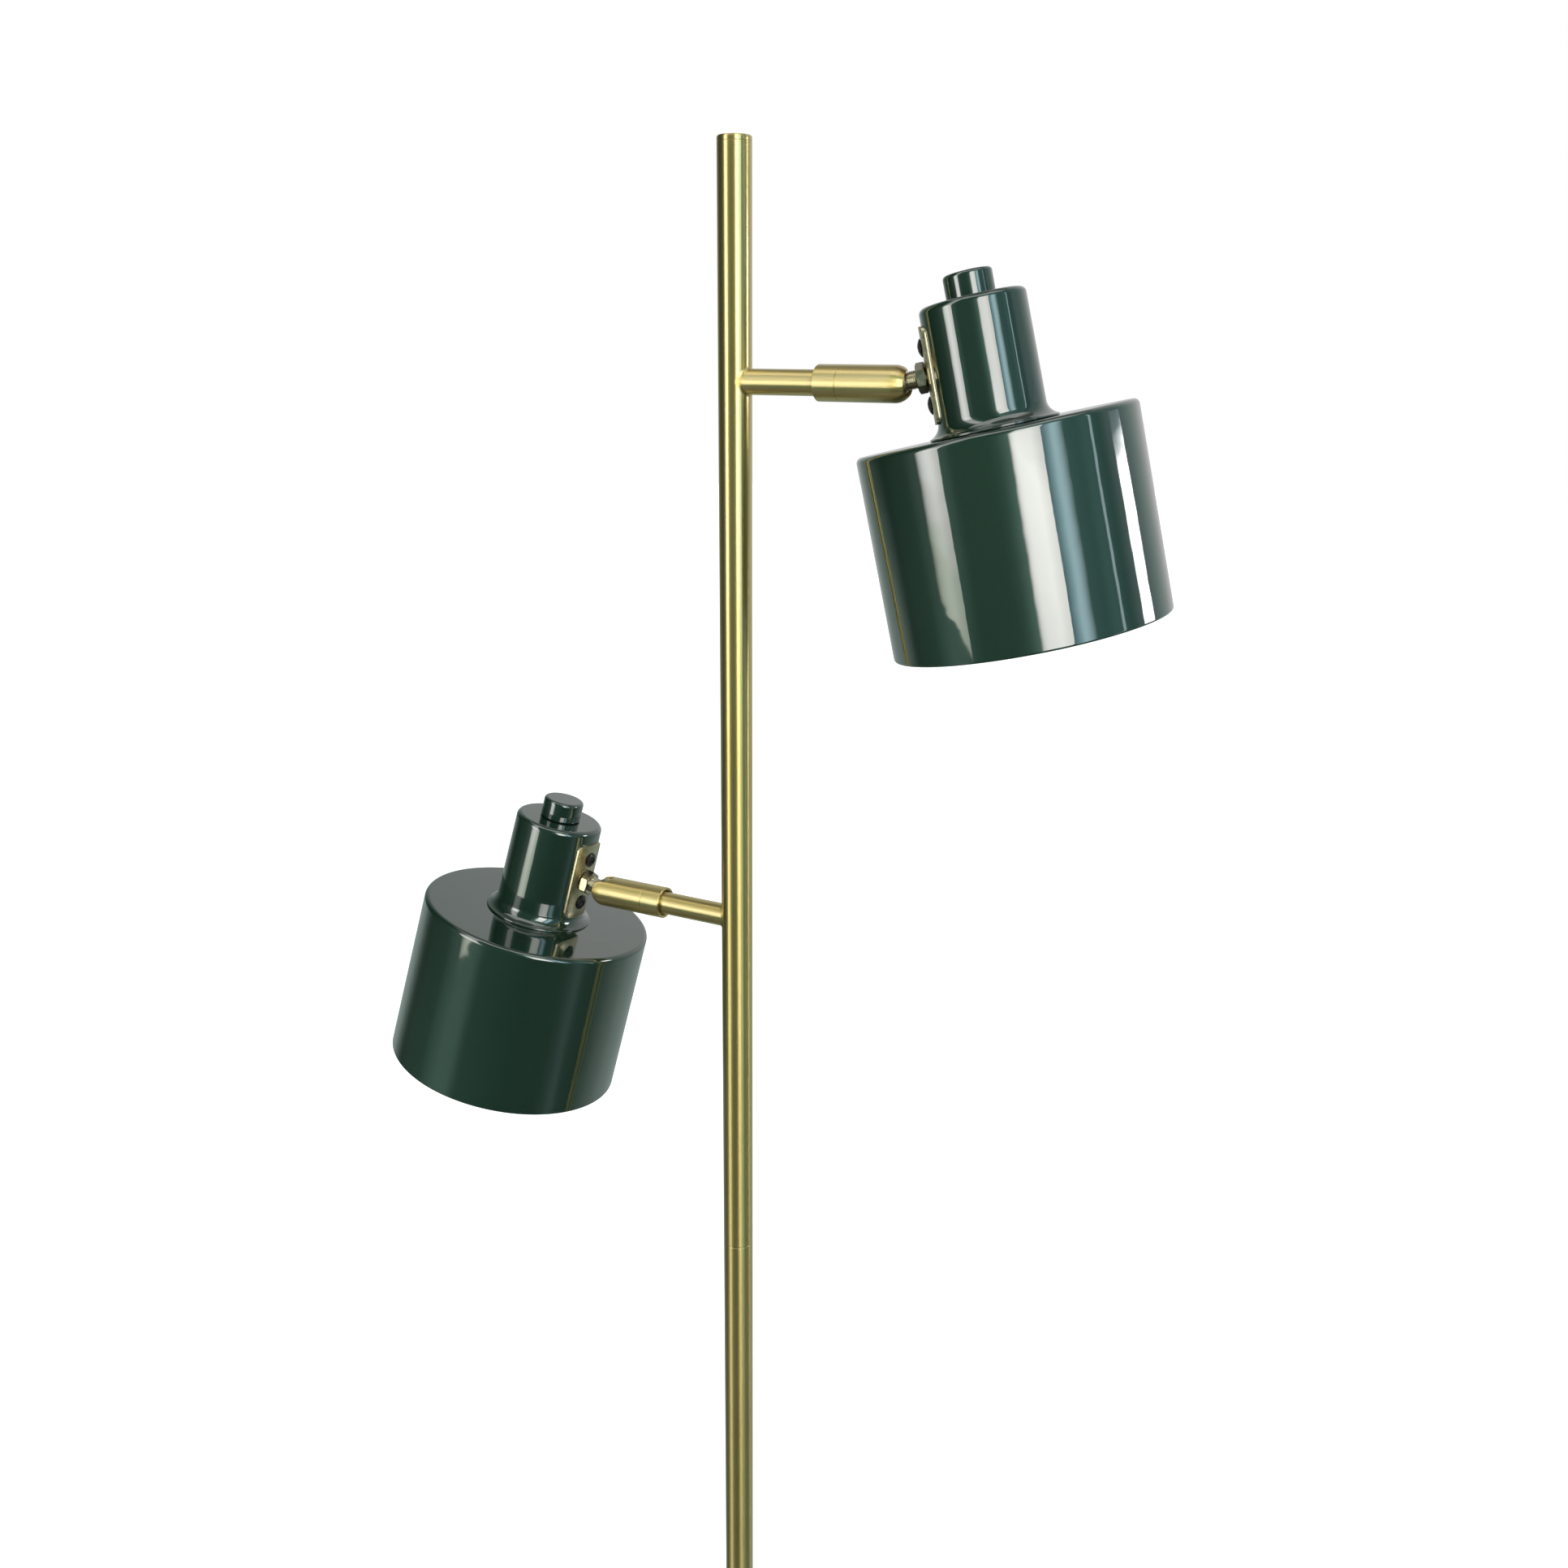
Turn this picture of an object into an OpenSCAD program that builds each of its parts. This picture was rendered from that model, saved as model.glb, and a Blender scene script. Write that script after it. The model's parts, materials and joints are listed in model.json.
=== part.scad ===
// Two-light floor lamp: a round weighted base, a pole of two screwed sections and two short arms
// that point opposite ways at different heights. Each arm ends in a slotted ball swivel, and each
// swivel carries a drum shade under a round neck that has a rotary switch on top.
// Millimetres, +Z up. The origin is on the floor under the pole, and the upper arm points to +X.

/* [Base] */
// Diameter of the base cover
base_d = 254; // [246:1:320]
// Height of the cover at its shoulder
base_rim_h = 18; // [17.8:0.1:24]
// Height of the cover where the pole stands
base_crown_h = 22; // [20:0.5:32]
// Diameter of the flat crown that the pole stands on
base_crown_d = 34; // [26:1:60]
// Radius of the rounded shoulder
base_edge_r = 6; // [3:0.1:6.2]
// Sheet thickness of the cover
cover_wall = 1; // [0.6:0.1:1.5]
// Gap between the cover's skirt and the floor
skirt_gap = 1; // [0.5:0.1:1.2]
// Distance from the cover's face in to the cast weight
weight_inset = 9; // [6.5:0.1:27]
// Inner diameter of the hollow under the weight
core_inner_d = 80; // [60:1:110]
// Outer diameter of the hollow under the weight
core_outer_d = 180; // [130:1:195]
// Depth of the hollow under the weight
core_depth = 9; // [4:0.5:11]
// Diameter of the recess for the nut under the weight
nut_recess_d = 36; // [30:1:50]
// Depth of the recess for the nut under the weight
nut_recess_depth = 11; // [10:0.5:12]
// How far the pad under the base reaches past the weight
pad_lap = 2; // [0:0.1:3]
// Thickness of the pad under the base
pad_t = 2; // [2:0.1:3]
// Bore of the cable bush at the back of the base
cable_bore = 6; // [4:0.2:6.4]
// Diameter of the hole in the cover for the cable bush
bush_hole_d = 8; // [7.6:0.1:8.4]
// Diameter of the flanges of the cable bush
bush_flange_d = 10.4; // [9.6:0.1:10.8]
// Thickness of the flanges of the cable bush
bush_flange_t = 1.2; // [0.8:0.1:2]

/* [Pole] */
// Outside diameter of the pole
pole_d = 19; // [18:0.5:25]
// Wall of the pole
pole_wall = 1.2; // [0.8:0.1:1.4]
// Length of each of the two pole sections
section_l = 668; // [560:1:900]
// Thickness of the ring that shows as a line between the sections
seam_t = 0.4; // [0.3:0.1:1]
// Depth of that line from the face of the pole
seam_depth = 0.5; // [0.3:0.1:0.8]
// Length of the plugs in the ends of the sections
plug_l = 20; // [16:1:40]
// Length of the threaded stud between the sections
stud_l = 14; // [8:1:15]
// Thickness of the cap above the end of the pole
cap_t = 3; // [2:0.1:5]
// Edge radius of the cap
cap_edge_r = 1.2; // [0.4:0.1:1.8]
// Length of the cap's plug in the pole
cap_plug_l = 10; // [6:1:20]

/* [Arms] */
// Height of the lamp's top above the upper arm
top_above_arm = 126; // [60:1:160]
// Distance between the upper and the lower arm
arm_spacing = 318; // [300:1:380]
// Outside diameter of the arm tubes
arm_d = 14; // [13.4:0.1:14.4]
// Wall of the arm tubes
arm_wall = 1; // [0.6:0.1:1.4]
// Length of an arm from the pole's axis
arm_l = 70; // [62:1:120]
// Diameter of the wire hole in the pole behind an arm
wire_hole_d = 9; // [6:0.5:10]

/* [Swivels] */
// Outside diameter of the collar and the cup
swivel_d = 19.6; // [19.4:0.1:20.4]
// Length of the collar that shows
collar_l = 13.4; // [10:0.2:20]
// Length of the thread between the collar and the cup
thread_l = 4.4; // [3:0.1:6]
// Diameter of the collar's open mouth round the arm
collar_mouth_d = 16.6; // [15.6:0.1:17.6]
// Depth of the collar's open mouth
collar_mouth_depth = 5; // [2:0.5:8]
// Length of the cup from the collar to the centre of the ball
cup_l = 31.5; // [28:0.5:45]
// Wall of the cup round the ball
cup_wall = 1.6; // [1.5:0.1:1.8]
// Wall of the cup at its thread
cup_thread_wall = 1.2; // [1:0.1:1.3]
// Diameter of the cup's open mouth
mouth_d = 13.6; // [13:0.1:14]
// Width of the slot in the side of the cup
slot_w = 11.4; // [11:0.1:12]
// Thickness of the flange that holds the collar on the arm
flange_t = 3; // [2:0.1:4]
// Length of the flange's shank in the arm
flange_shank_l = 12; // [8:0.5:20]
// Bore of the friction seat behind the ball
seat_bore = 9; // [7:0.2:10]

/* [Stems] */
// Diameter of the threaded stems and pipes
pipe_d = 10; // [9.6:0.1:10.2]
// Diameter of the stem inside the ball
stem_neck_d = 8; // [7.8:0.1:8.4]
// Bore for the wires through every threaded pipe
wire_bore = 6; // [4:0.1:6.2]
// Distance from the ball's centre to its flat front
ball_front = 6.1; // [6:0.1:6.3]
// Distance from the ball's centre to its flat back
ball_back = 5.6; // [5.4:0.1:5.7]
// Depth of the recess in the back of the ball
ball_recess = 1.3; // [1.2:0.1:1.6]
// Diameter of the stem's flared end in that recess
flare_end_d = 9.8; // [9.2:0.1:10]
// Distance from the centre of the ball to the axis of the head
head_offset = 46.4; // [45:0.1:60]
// Distance between the flats of the nuts
nut_af = 14; // [13:0.1:14.2]
// Thickness of the nuts
nut_t = 5; // [3:0.1:5.2]
// Length of the stem that stands out of its inner nut
stem_end = 1.5; // [1:0.1:4]

/* [Neck plate] */
// Width of the curved plate
plate_w = 24; // [20:0.5:30]
// Height of the curved plate
plate_h = 50; // [42:1:52]
// Thickness of the curved plate
plate_t = 1.5; // [1:0.1:1.8]
// Corner radius of the curved plate
plate_corner_r = 4; // [1:0.5:6]
// Distance between the plate's two screws
screw_pitch = 29.6; // [28:0.2:32]
// Diameter of the screws
screw_d = 4; // [3:0.2:5]
// Diameter of the screw heads
screw_head_d = 9.6; // [8:0.2:10.4]
// Height of the screw heads
screw_head_h = 2.2; // [2:0.1:3.6]
// Height of the domed part of the screw heads
screw_dome_h = 1.7; // [1.2:0.1:1.9]
// Length of the screws under their heads
screw_l = 8; // [7:0.2:10]
// Width of the arms of the cross recess
cross_w = 1; // [0.6:0.1:1.4]
// Length of the arms of the cross recess
cross_l = 4.8; // [3:0.2:6]
// Depth of the cross recess
cross_depth = 1.6; // [0.8:0.1:2]

/* [Shade] */
// Diameter of the shade at its rim
shade_d = 150; // [120:1:156]
// Diameter of the shade at its top
shade_top_d = 148.2; // [118:0.2:156]
// Height of the shade
shade_h = 109.4; // [80:0.1:160]
// Sheet thickness of the shade
shade_wall = 1; // [0.6:0.1:1.5]
// Radius of the shade's top edge
shade_edge_r = 3; // [1.6:0.1:6]
// Radius of the rolled hem at the rim
hem_r = 1.1; // [1:0.1:2]

/* [Neck] */
// Diameter of the neck above its flare
neck_d = 56.8; // [55.8:0.1:58]
// Diameter of the neck at its top
neck_top_d = 55.6; // [54:0.1:58]
// Height of the neck
neck_h = 66.6; // [66:0.1:90]
// Sheet thickness of the neck
neck_wall = 1; // [0.6:0.1:1.2]
// Radius of the neck's top edge
neck_edge_r = 3.2; // [1.6:0.1:6]
// Radius of the flare at the neck's foot
flare_r = 8; // [7:0.1:10]
// How far the flare stands out from the neck
flare_out = 5.8; // [4:0.1:5.9]
// Height of the flare's lowest point above the shade
flare_lift = 0.7; // [0.5:0.1:1.2]
// Width of the ring on which the flare stands
flare_rest = 1.2; // [0.8:0.1:2]
// Height of the stem above the shade's top
stem_z = 33.1; // [32:0.1:33.6]

/* [Lamp holder] */
// Diameter of the holder's threaded sleeve
sleeve_d = 39.6; // [36:0.2:42]
// Length of the sleeve below the shade's top
sleeve_l = 28; // [26:0.5:40]
// Diameter of the holder's flange
holder_flange_d = 44; // [43:0.5:48]
// Thickness of the holder's flange
holder_flange_t = 2; // [1.5:0.1:4]
// Diameter of the holder's body above the flange
holder_body_d = 38; // [34:0.5:42]
// Height of the holder's body above the shade's top
holder_body_h = 12; // [8:0.2:12.4]
// Radius of the screw shell that a lamp's cap screws into
shell_r = 13.25; // [13:0.05:13.5]
// Sheet thickness of the screw shell
shell_wall = 0.45; // [0.3:0.05:0.8]
// Length of the screw shell
shell_l = 19.5; // [18:0.1:21]
// How far the screw shell lies inside the sleeve
shell_inset = 1; // [0.5:0.1:2]
// Diameter of the hole in the end of the screw shell
shell_hole_d = 13; // [11:0.5:16]
// Depth of the tapped hole in the top of the holder
holder_tap = 8; // [6:0.5:9]
// Width of the centre contact
contact_w = 5; // [3:0.5:6]
// Length of the centre contact's leaf
contact_l = 8; // [6:0.5:9]
// Thickness of the centre contact's leaf
contact_t = 0.6; // [0.4:0.1:1]
// Height of the centre contact's button
contact_h = 3.7; // [1.2:0.1:3.7]
// Depth of the recess for the centre contact above the screw shell
contact_recess = 3.5; // [3.5:0.1:4]
// Outside diameter of the shade ring
ring_d = 52; // [46:0.5:60]
// Height of the shade ring
ring_h = 5; // [3:0.5:10]
// Number of grooves round the shade ring
ring_grooves = 24; // [12:2:36]
// Diameter of those grooves
groove_d = 2; // [1:0.2:3]

/* [Holder bracket] */
// Width of the bracket's leg
strap_w = 14; // [13:0.5:16]
// Thickness of the bracket
strap_t = 1.5; // [1.3:0.1:2]
// How far the leg reaches above its upper screw
strap_end = 5; // [4:0.5:6]
// Diameter of the bracket's round foot
foot_d = 20; // [17:0.5:26]

/* [Switch and knob] */
// Width of the switch's case
switch_w = 20; // [16:0.5:24]
// Depth of the switch's case
switch_depth = 16; // [14:0.5:20]
// Height of the switch's case
switch_h = 15; // [12:0.5:16]
// Height of the switch's threaded bush above the neck
bush_up = 4; // [3.6:0.1:5]
// Thickness of the switch's nut
switch_nut_t = 2.5; // [2:0.1:3]
// Diameter of the switch's shaft
shaft_d = 6; // [4.8:0.1:6.4]
// Diameter of the rotor inside the switch
rotor_d = 12; // [10:0.2:13]
// Thickness of the rotor
rotor_t = 3; // [2:0.1:4]
// Depth of the flat along the shaft's end
shaft_flat = 0.8; // [0.4:0.1:1]
// Diameter of the knob
knob_d = 25.6; // [23:0.1:30]
// Height of the knob's top above the neck
knob_h = 13.1; // [12:0.1:18]
// Edge radius of the knob
knob_edge_r = 2; // [1:0.1:2.2]
// Gap between the knob and the neck
knob_gap = 0.6; // [0.4:0.1:1.2]
// Diameter of the hollow under the knob
knob_hollow_d = 18.4; // [17.4:0.2:18.8]
// Thickness of the knob above the end of the shaft
knob_top_t = 1.8; // [1.5:0.1:3]

/* [Pose of the upper head] */
// Turn of the upper cup about its arm, in degrees
upper_turn = -53.4; // [-160:0.1:160]
// Tilt of the upper stem along the cup's slot, in degrees
upper_tilt = 22.1; // [-10:0.1:88]
// Spin of the upper head about its stem, in degrees
upper_spin = 53.9; // [-90:0.1:90]

/* [Pose of the lower head] */
// Turn of the lower cup about its arm, in degrees
lower_turn = 0; // [-160:0.1:160]
// Tilt of the lower stem along the cup's slot, in degrees
lower_tilt = 12.4; // [-10:0.1:88]
// Spin of the lower head about its stem, in degrees
lower_spin = 7.7; // [-90:0.1:90]

/* [Fits] */
// Radial clearance of a shaft that turns in its bore
run_fit = 0.05; // [0.02:0.01:0.09]
// Radial clearance of parts that are pressed or screwed together
close_fit = 0.05; // [0.02:0.01:0.1]
// Radial clearance of a pipe or screw in a plain hole
loose_fit = 0.2; // [0.15:0.05:0.3]
// Clearance round the ball and the flange, which turn in the cup
ball_fit = 0.3; // [0.2:0.05:0.35]
// Gap between faces that turn against each other
face_fit = 0.1; // [0.05:0.05:0.15]

/* [Hidden] */
$fn = 72;
// How far a cut runs past the face that it goes through
cut = 1;

// Radii
pipe_r = pipe_d / 2;
pole_r = pole_d / 2;
pole_bore_r = pole_r - pole_wall;
arm_r = arm_d / 2;
swivel_r = swivel_d / 2;
cup_bore_r = swivel_r - cup_wall;
cup_thread_r = swivel_r - cup_thread_wall;
ball_r = cup_bore_r - ball_fit;
neck_r = neck_d / 2;
neck_top_r = neck_top_d / 2;
shaft_r = shaft_d / 2;

weight_r = base_d / 2 - weight_inset;

// Heights in the base
nut_ceiling = pad_t + nut_recess_depth;
washer_t = bush_flange_t;
base_nut_z = nut_ceiling - washer_t - nut_t;
base_nipple_z = base_nut_z - stem_end;
bush_z = (skirt_gap + base_rim_h - base_edge_r) / 2;

// Heights along the pole
seam_z = base_crown_h + section_l;
upper_pole_z = seam_z + seam_t;
pole_top = upper_pole_z + section_l;
lamp_top = pole_top + cap_t;
upper_arm_z = lamp_top - top_above_arm;
lower_arm_z = upper_arm_z - arm_spacing;

// Places along an arm, from the pole's axis
cup_x = arm_l - thread_l;
flange_end = arm_l + flange_t;
ball_x = cup_x + cup_l;
seat_end = ball_x - slot_w / 2 - loose_fit;

// Heights in a head, from the top of the shade
neck_ceiling = neck_h - neck_wall;
shell_top = shell_inset + shell_l - sleeve_l;
contact_z = shell_top + contact_recess;
strap_top = stem_z + screw_pitch / 2 + strap_end;
foot_top = holder_body_h + strap_t;
bush_top = neck_h + bush_up;
knob_ceiling = bush_top + knob_gap;
shaft_top = neck_h + knob_h - knob_top_t;
rotor_z = neck_ceiling - switch_h / 2;

// Distances from the axis of a head
leg_out = neck_at(foot_top) - neck_wall - close_fit;
leg_edge = sqrt(pow(leg_out, 2) - pow(strap_w / 2, 2));
foot_back = (leg_out - strap_t + leg_edge) / 2;
outer_nut_face = neck_at(stem_z - nut_af / 2) + close_fit + plate_t;
inner_nut_r = neck_at(stem_z + nut_af / 2) - neck_wall - close_fit - strap_t;
inner_nut_face = sqrt(pow(inner_nut_r, 2) - pow(nut_af / 2, 2));

// Radius of the neck's outer face at a height above the shade
function neck_at(z) = neck_r + (neck_top_r - neck_r) * z / (neck_h - neck_edge_r);

// A head's place: the arm's height and heading, then the turn, tilt and spin of its swivel
UPPER = [upper_arm_z, 0, upper_turn, upper_tilt, upper_spin];
LOWER = [lower_arm_z, 180, lower_turn, lower_tilt, lower_spin];

module at_arm(place) {
    translate([0, 0, place[0]])
        rotate([0, 0, place[1]])
            children();
}

// The cup turns about the arm
module at_cup(place) {
    at_arm(place)
        rotate([place[2], 0, 0])
            children();
}

// The ball tilts along the slot, and its frame has its centre as origin
module at_ball(place) {
    at_cup(place)
        translate([ball_x, 0, 0])
            rotate([0, -place[3], 0])
                children();
}

// The stem spins in the ball
module at_stem(place) {
    at_ball(place)
        rotate([place[4], 0, 0])
            children();
}

// A head's origin is in the middle of the shade's top, and the stem comes in from -X
module at_head(place) {
    at_stem(place)
        translate([head_offset, 0, -stem_z])
            children();
}

module rod_x(from, to, r) {
    translate([from, 0, 0])
        rotate([0, 90, 0])
            cylinder(r = r, h = to - from);
}

module rod_z(from, to, r) {
    translate([0, 0, from])
        cylinder(r = r, h = to - from);
}

module hex_x(from, to) {
    translate([from, 0, 0])
        rotate([0, 90, 0])
            cylinder(r = nut_af / sqrt(3), h = to - from, $fn = 6);
}

module hex_z(from, to) {
    translate([0, 0, from])
        cylinder(r = nut_af / sqrt(3), h = to - from, $fn = 6);
}

// A round disc with its upper edge rounded
module rounded_disc(from, to, r, edge) {
    rotate_extrude() {
        translate([0, from])
            square([r - edge, to - from]);
        translate([0, from])
            square([r, to - from - edge]);
        translate([r - edge, to - edge])
            circle(edge);
    }
}

// Base

// Half section of the cover's outer face drawn in by an inset, from its foot up
module base_outline(inset, foot) {
    r = base_d / 2 - inset;
    edge = base_edge_r - inset;
    rim = base_rim_h - inset;
    crown = base_crown_h - inset;
    polygon([
        [0, foot], [r, foot], [r, rim - edge], [r - edge, rim],
        [base_crown_d / 2, crown], [0, crown]
    ]);
    translate([r - edge, rim - edge])
        circle(edge);
}

// The cable comes in level at the back, and here +X points outwards from the cover's face
module at_cable() {
    rotate([0, 0, 90])
        translate([base_d / 2, 0, bush_z])
            children();
}

module base_cover() {
    color("darkkhaki")
        difference() {
            rotate_extrude()
                difference() {
                    base_outline(0, skirt_gap);
                    base_outline(cover_wall, skirt_gap - cut);
                }
            rod_z(0, base_crown_h + cut, pipe_r + loose_fit);
            at_cable()
                rod_x(-cover_wall - cut, cut, bush_hole_d / 2);
        }
}

module base_weight() {
    color("dimgray")
        difference() {
            rotate_extrude()
                intersection() {
                    base_outline(cover_wall + face_fit, pad_t);
                    square([weight_r, base_crown_h]);
                }
            rod_z(0, base_crown_h, pipe_r + loose_fit);
            rod_z(0, nut_ceiling, nut_recess_d / 2);
            difference() {
                rod_z(0, pad_t + core_depth, core_outer_d / 2);
                rod_z(-cut, base_crown_h, core_inner_d / 2);
            }
            at_cable()
                rod_x(-base_d / 2, 0, cable_bore / 2);
        }
}

module base_pad() {
    color("black")
        cylinder(r = weight_r + pad_lap, h = pad_t);
}

module base_nipple() {
    top = base_crown_h + plug_l;
    color("silver")
        difference() {
            rod_z(base_nipple_z, top - stem_end, pipe_r - close_fit);
            rod_z(0, top, wire_bore / 2);
        }
}

module base_washer() {
    color("silver")
        difference() {
            rod_z(nut_ceiling - washer_t, nut_ceiling, nut_af);
            rod_z(0, base_crown_h, pipe_r + loose_fit);
        }
}

module base_nut() {
    color("silver")
        difference() {
            hex_z(base_nut_z, base_nut_z + nut_t);
            rod_z(0, base_crown_h, pipe_r);
        }
}

module cable_bush() {
    inner_face = sqrt(pow(base_d / 2 - cover_wall, 2) - pow(bush_flange_d / 2, 2)) - base_d / 2 - face_fit;
    color("black")
        at_cable()
            difference() {
                union() {
                    rod_x(inner_face - bush_flange_t, inner_face, bush_flange_d / 2);
                    rod_x(inner_face, 0, bush_hole_d / 2 - close_fit);
                    rod_x(0, bush_flange_t, bush_flange_d / 2);
                }
                rod_x(-base_d / 2, base_d / 2, cable_bore / 2);
            }
}

// Pole

module pole_section(z) {
    difference() {
        rod_z(z, z + section_l, pole_r);
        rod_z(z - cut, z + section_l + cut, pole_bore_r);
    }
}

module lower_pole() {
    color("darkkhaki")
        pole_section(base_crown_h);
}

module pole_foot() {
    color("silver")
        difference() {
            rod_z(base_crown_h, base_crown_h + plug_l, pole_bore_r - close_fit);
            rod_z(0, base_crown_h + plug_l + cut, pipe_r);
        }
}

module joint_bush() {
    color("silver")
        difference() {
            rod_z(seam_z - plug_l, seam_z, pole_bore_r - close_fit);
            rod_z(0, upper_pole_z, pipe_r);
        }
}

module joint_stud() {
    color("silver")
        difference() {
            union() {
                rod_z(seam_z - stud_l, seam_z, pipe_r - close_fit);
                rod_z(seam_z, upper_pole_z, pole_r - seam_depth);
                rod_z(upper_pole_z, upper_pole_z + plug_l, pole_bore_r - close_fit);
            }
            rod_z(0, lamp_top, wire_bore / 2);
        }
}

module upper_pole() {
    color("darkkhaki")
        difference() {
            pole_section(upper_pole_z);
            for (place = [UPPER, LOWER])
                at_arm(place)
                    rod_x(0, pole_d, wire_hole_d / 2);
        }
}

module pole_cap() {
    color("darkkhaki")
        union() {
            rounded_disc(pole_top, lamp_top, pole_r, cap_edge_r);
            rod_z(pole_top - cap_plug_l, lamp_top - cap_edge_r, pole_bore_r - close_fit);
        }
}

// Arms and swivels

module arm(place) {
    color("darkkhaki")
        difference() {
            at_arm(place)
                rod_x(0, arm_l, arm_r);
            at_arm(place)
                rod_x(-cut, arm_l + cut, arm_r - arm_wall);
            rod_z(0, lamp_top, pole_r + close_fit);
        }
}

module flange(place) {
    color("silver")
        at_arm(place)
            difference() {
                union() {
                    rod_x(arm_l - flange_shank_l, arm_l, arm_r - arm_wall - close_fit);
                    rod_x(arm_l, flange_end, cup_thread_r - ball_fit);
                }
                rod_x(0, ball_x, wire_hole_d / 2 - arm_wall);
            }
}

module collar(place) {
    back = cup_x - collar_l;
    color("darkkhaki")
        at_cup(place)
            difference() {
                union() {
                    rod_x(back, cup_x, swivel_r);
                    rod_x(cup_x, arm_l - face_fit, cup_thread_r - close_fit);
                }
                rod_x(0, ball_x, arm_r + run_fit);
                rod_x(0, back + collar_mouth_depth, collar_mouth_d / 2);
            }
}

module cup(place) {
    color("darkkhaki")
        at_cup(place)
            difference() {
                union() {
                    rod_x(cup_x, ball_x, swivel_r);
                    translate([ball_x, 0, 0])
                        sphere(swivel_r);
                }
                rod_x(0, flange_end, cup_thread_r);
                rod_x(cup_x, ball_x, cup_bore_r);
                translate([ball_x, 0, 0]) {
                    sphere(cup_bore_r);
                    rod_x(0, swivel_d, mouth_d / 2);
                    rod_z(0, swivel_d, slot_w / 2);
                    translate([0, -slot_w / 2, 0])
                        cube([swivel_d, slot_w, swivel_d]);
                }
            }
}

module seat(place) {
    color("ivory")
        at_cup(place)
            difference() {
                rod_x(flange_end + face_fit, seat_end, cup_bore_r - close_fit);
                rod_x(0, ball_x, seat_bore / 2);
                translate([ball_x, 0, 0])
                    sphere(cup_bore_r);
            }
}

module ball(place) {
    color("silver")
        at_ball(place)
            difference() {
                intersection() {
                    sphere(ball_r);
                    rod_x(-ball_back, ball_front, swivel_d);
                }
                rod_x(-swivel_d, swivel_d, stem_neck_d / 2 + run_fit);
                rod_x(-swivel_d, ball_recess - ball_back, (flare_end_d + ball_fit) / 2);
            }
}

// Heads

module stem(place) {
    flare = ball_recess - ball_back - face_fit;
    end = head_offset - inner_nut_face + nut_t + stem_end;
    color("silver")
        at_stem(place)
            difference() {
                union() {
                    rod_x(face_fit - ball_back, flare, flare_end_d / 2);
                    rod_x(flare, ball_front + face_fit, stem_neck_d / 2);
                    rod_x(ball_front + face_fit, end, pipe_r - close_fit);
                }
                rod_x(-swivel_d, head_offset, wire_bore / 2);
            }
}

module stem_nuts(place) {
    color("silver")
        at_head(place)
            translate([0, 0, stem_z])
                difference() {
                    union() {
                        hex_x(-outer_nut_face - nut_t, -outer_nut_face);
                        hex_x(-inner_nut_face, nut_t - inner_nut_face);
                    }
                    rod_x(-head_offset, 0, pipe_r);
                }
}

// A strip of revolution that follows the neck's wall, from one distance off its outer face
// to another
module neck_skin(from, to, low, high) {
    rotate_extrude()
        polygon([
            [neck_at(low) + from, low], [neck_at(low) + to, low],
            [neck_at(high) + to, high], [neck_at(high) + from, high]
        ]);
}

// Holes for the stem and the two plate screws, through everything at -X
module neck_holes(stem_gap, screw_gap) {
    translate([0, 0, stem_z])
        rod_x(-head_offset, 0, pipe_r + stem_gap);
    for (side = [-1, 1])
        translate([0, 0, stem_z + side * screw_pitch / 2])
            rod_x(-head_offset, 0, screw_d / 2 + screw_gap);
}

module plate_outline() {
    x = plate_w / 2 - plate_corner_r;
    y = plate_h / 2 - plate_corner_r;
    square([2 * x, plate_h], center = true);
    square([plate_w, 2 * y], center = true);
    for (corner = [[x, y], [-x, y], [-x, -y], [x, -y]])
        translate(corner)
            circle(plate_corner_r);
}

module plate(place) {
    color("darkkhaki")
        at_head(place)
            difference() {
                intersection() {
                    neck_skin(close_fit, close_fit + plate_t, 0, neck_h);
                    translate([-neck_d, 0, stem_z])
                        rotate([90, 0, 90])
                            linear_extrude(neck_d)
                                plate_outline();
                }
                rotate_extrude()
                    flare_outline(-close_fit, neck_r + flare_out);
                neck_holes(loose_fit, loose_fit);
            }
}

// A pan-head screw with a cross recess, with its shank along +X from under its head
module screw() {
    dome_r = (pow(screw_head_d / 2, 2) + pow(screw_dome_h, 2)) / (2 * screw_dome_h);
    difference() {
        union() {
            intersection() {
                rod_x(-screw_head_h, 0, screw_head_d / 2);
                translate([dome_r - screw_head_h, 0, 0])
                    sphere(dome_r);
            }
            rod_x(0, screw_l, screw_d / 2);
        }
        for (turn = [0, 90])
            rotate([turn, 0, 0])
                translate([-screw_head_h - cut, -cross_w / 2, -cross_l / 2])
                    cube([cross_depth + cut, cross_w, cross_l]);
    }
}

module plate_screws(place) {
    color("black")
        at_head(place)
            for (side = [-1, 1]) {
                z = stem_z + side * screw_pitch / 2;
                face = neck_at(z - screw_head_d / 2) + close_fit + plate_t;
                translate([-face, 0, z])
                    screw();
            }
}

module neck_outline(inset) {
    edge = neck_edge_r - inset;
    shoulder = neck_h - neck_edge_r;
    polygon([
        [0, 0], [neck_r - inset, 0], [neck_top_r - inset, shoulder],
        [neck_top_r - neck_edge_r, neck_h - inset], [0, neck_h - inset]
    ]);
    translate([neck_top_r - neck_edge_r, shoulder])
        circle(edge);
}

// Half section of the flared foot up to its arc, drawn in by an inset
module flare_outline(inset, r) {
    difference() {
        square([r, flare_lift + flare_r]);
        translate([neck_r + flare_r, flare_lift + flare_r])
            circle(flare_r + inset);
    }
}

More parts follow.
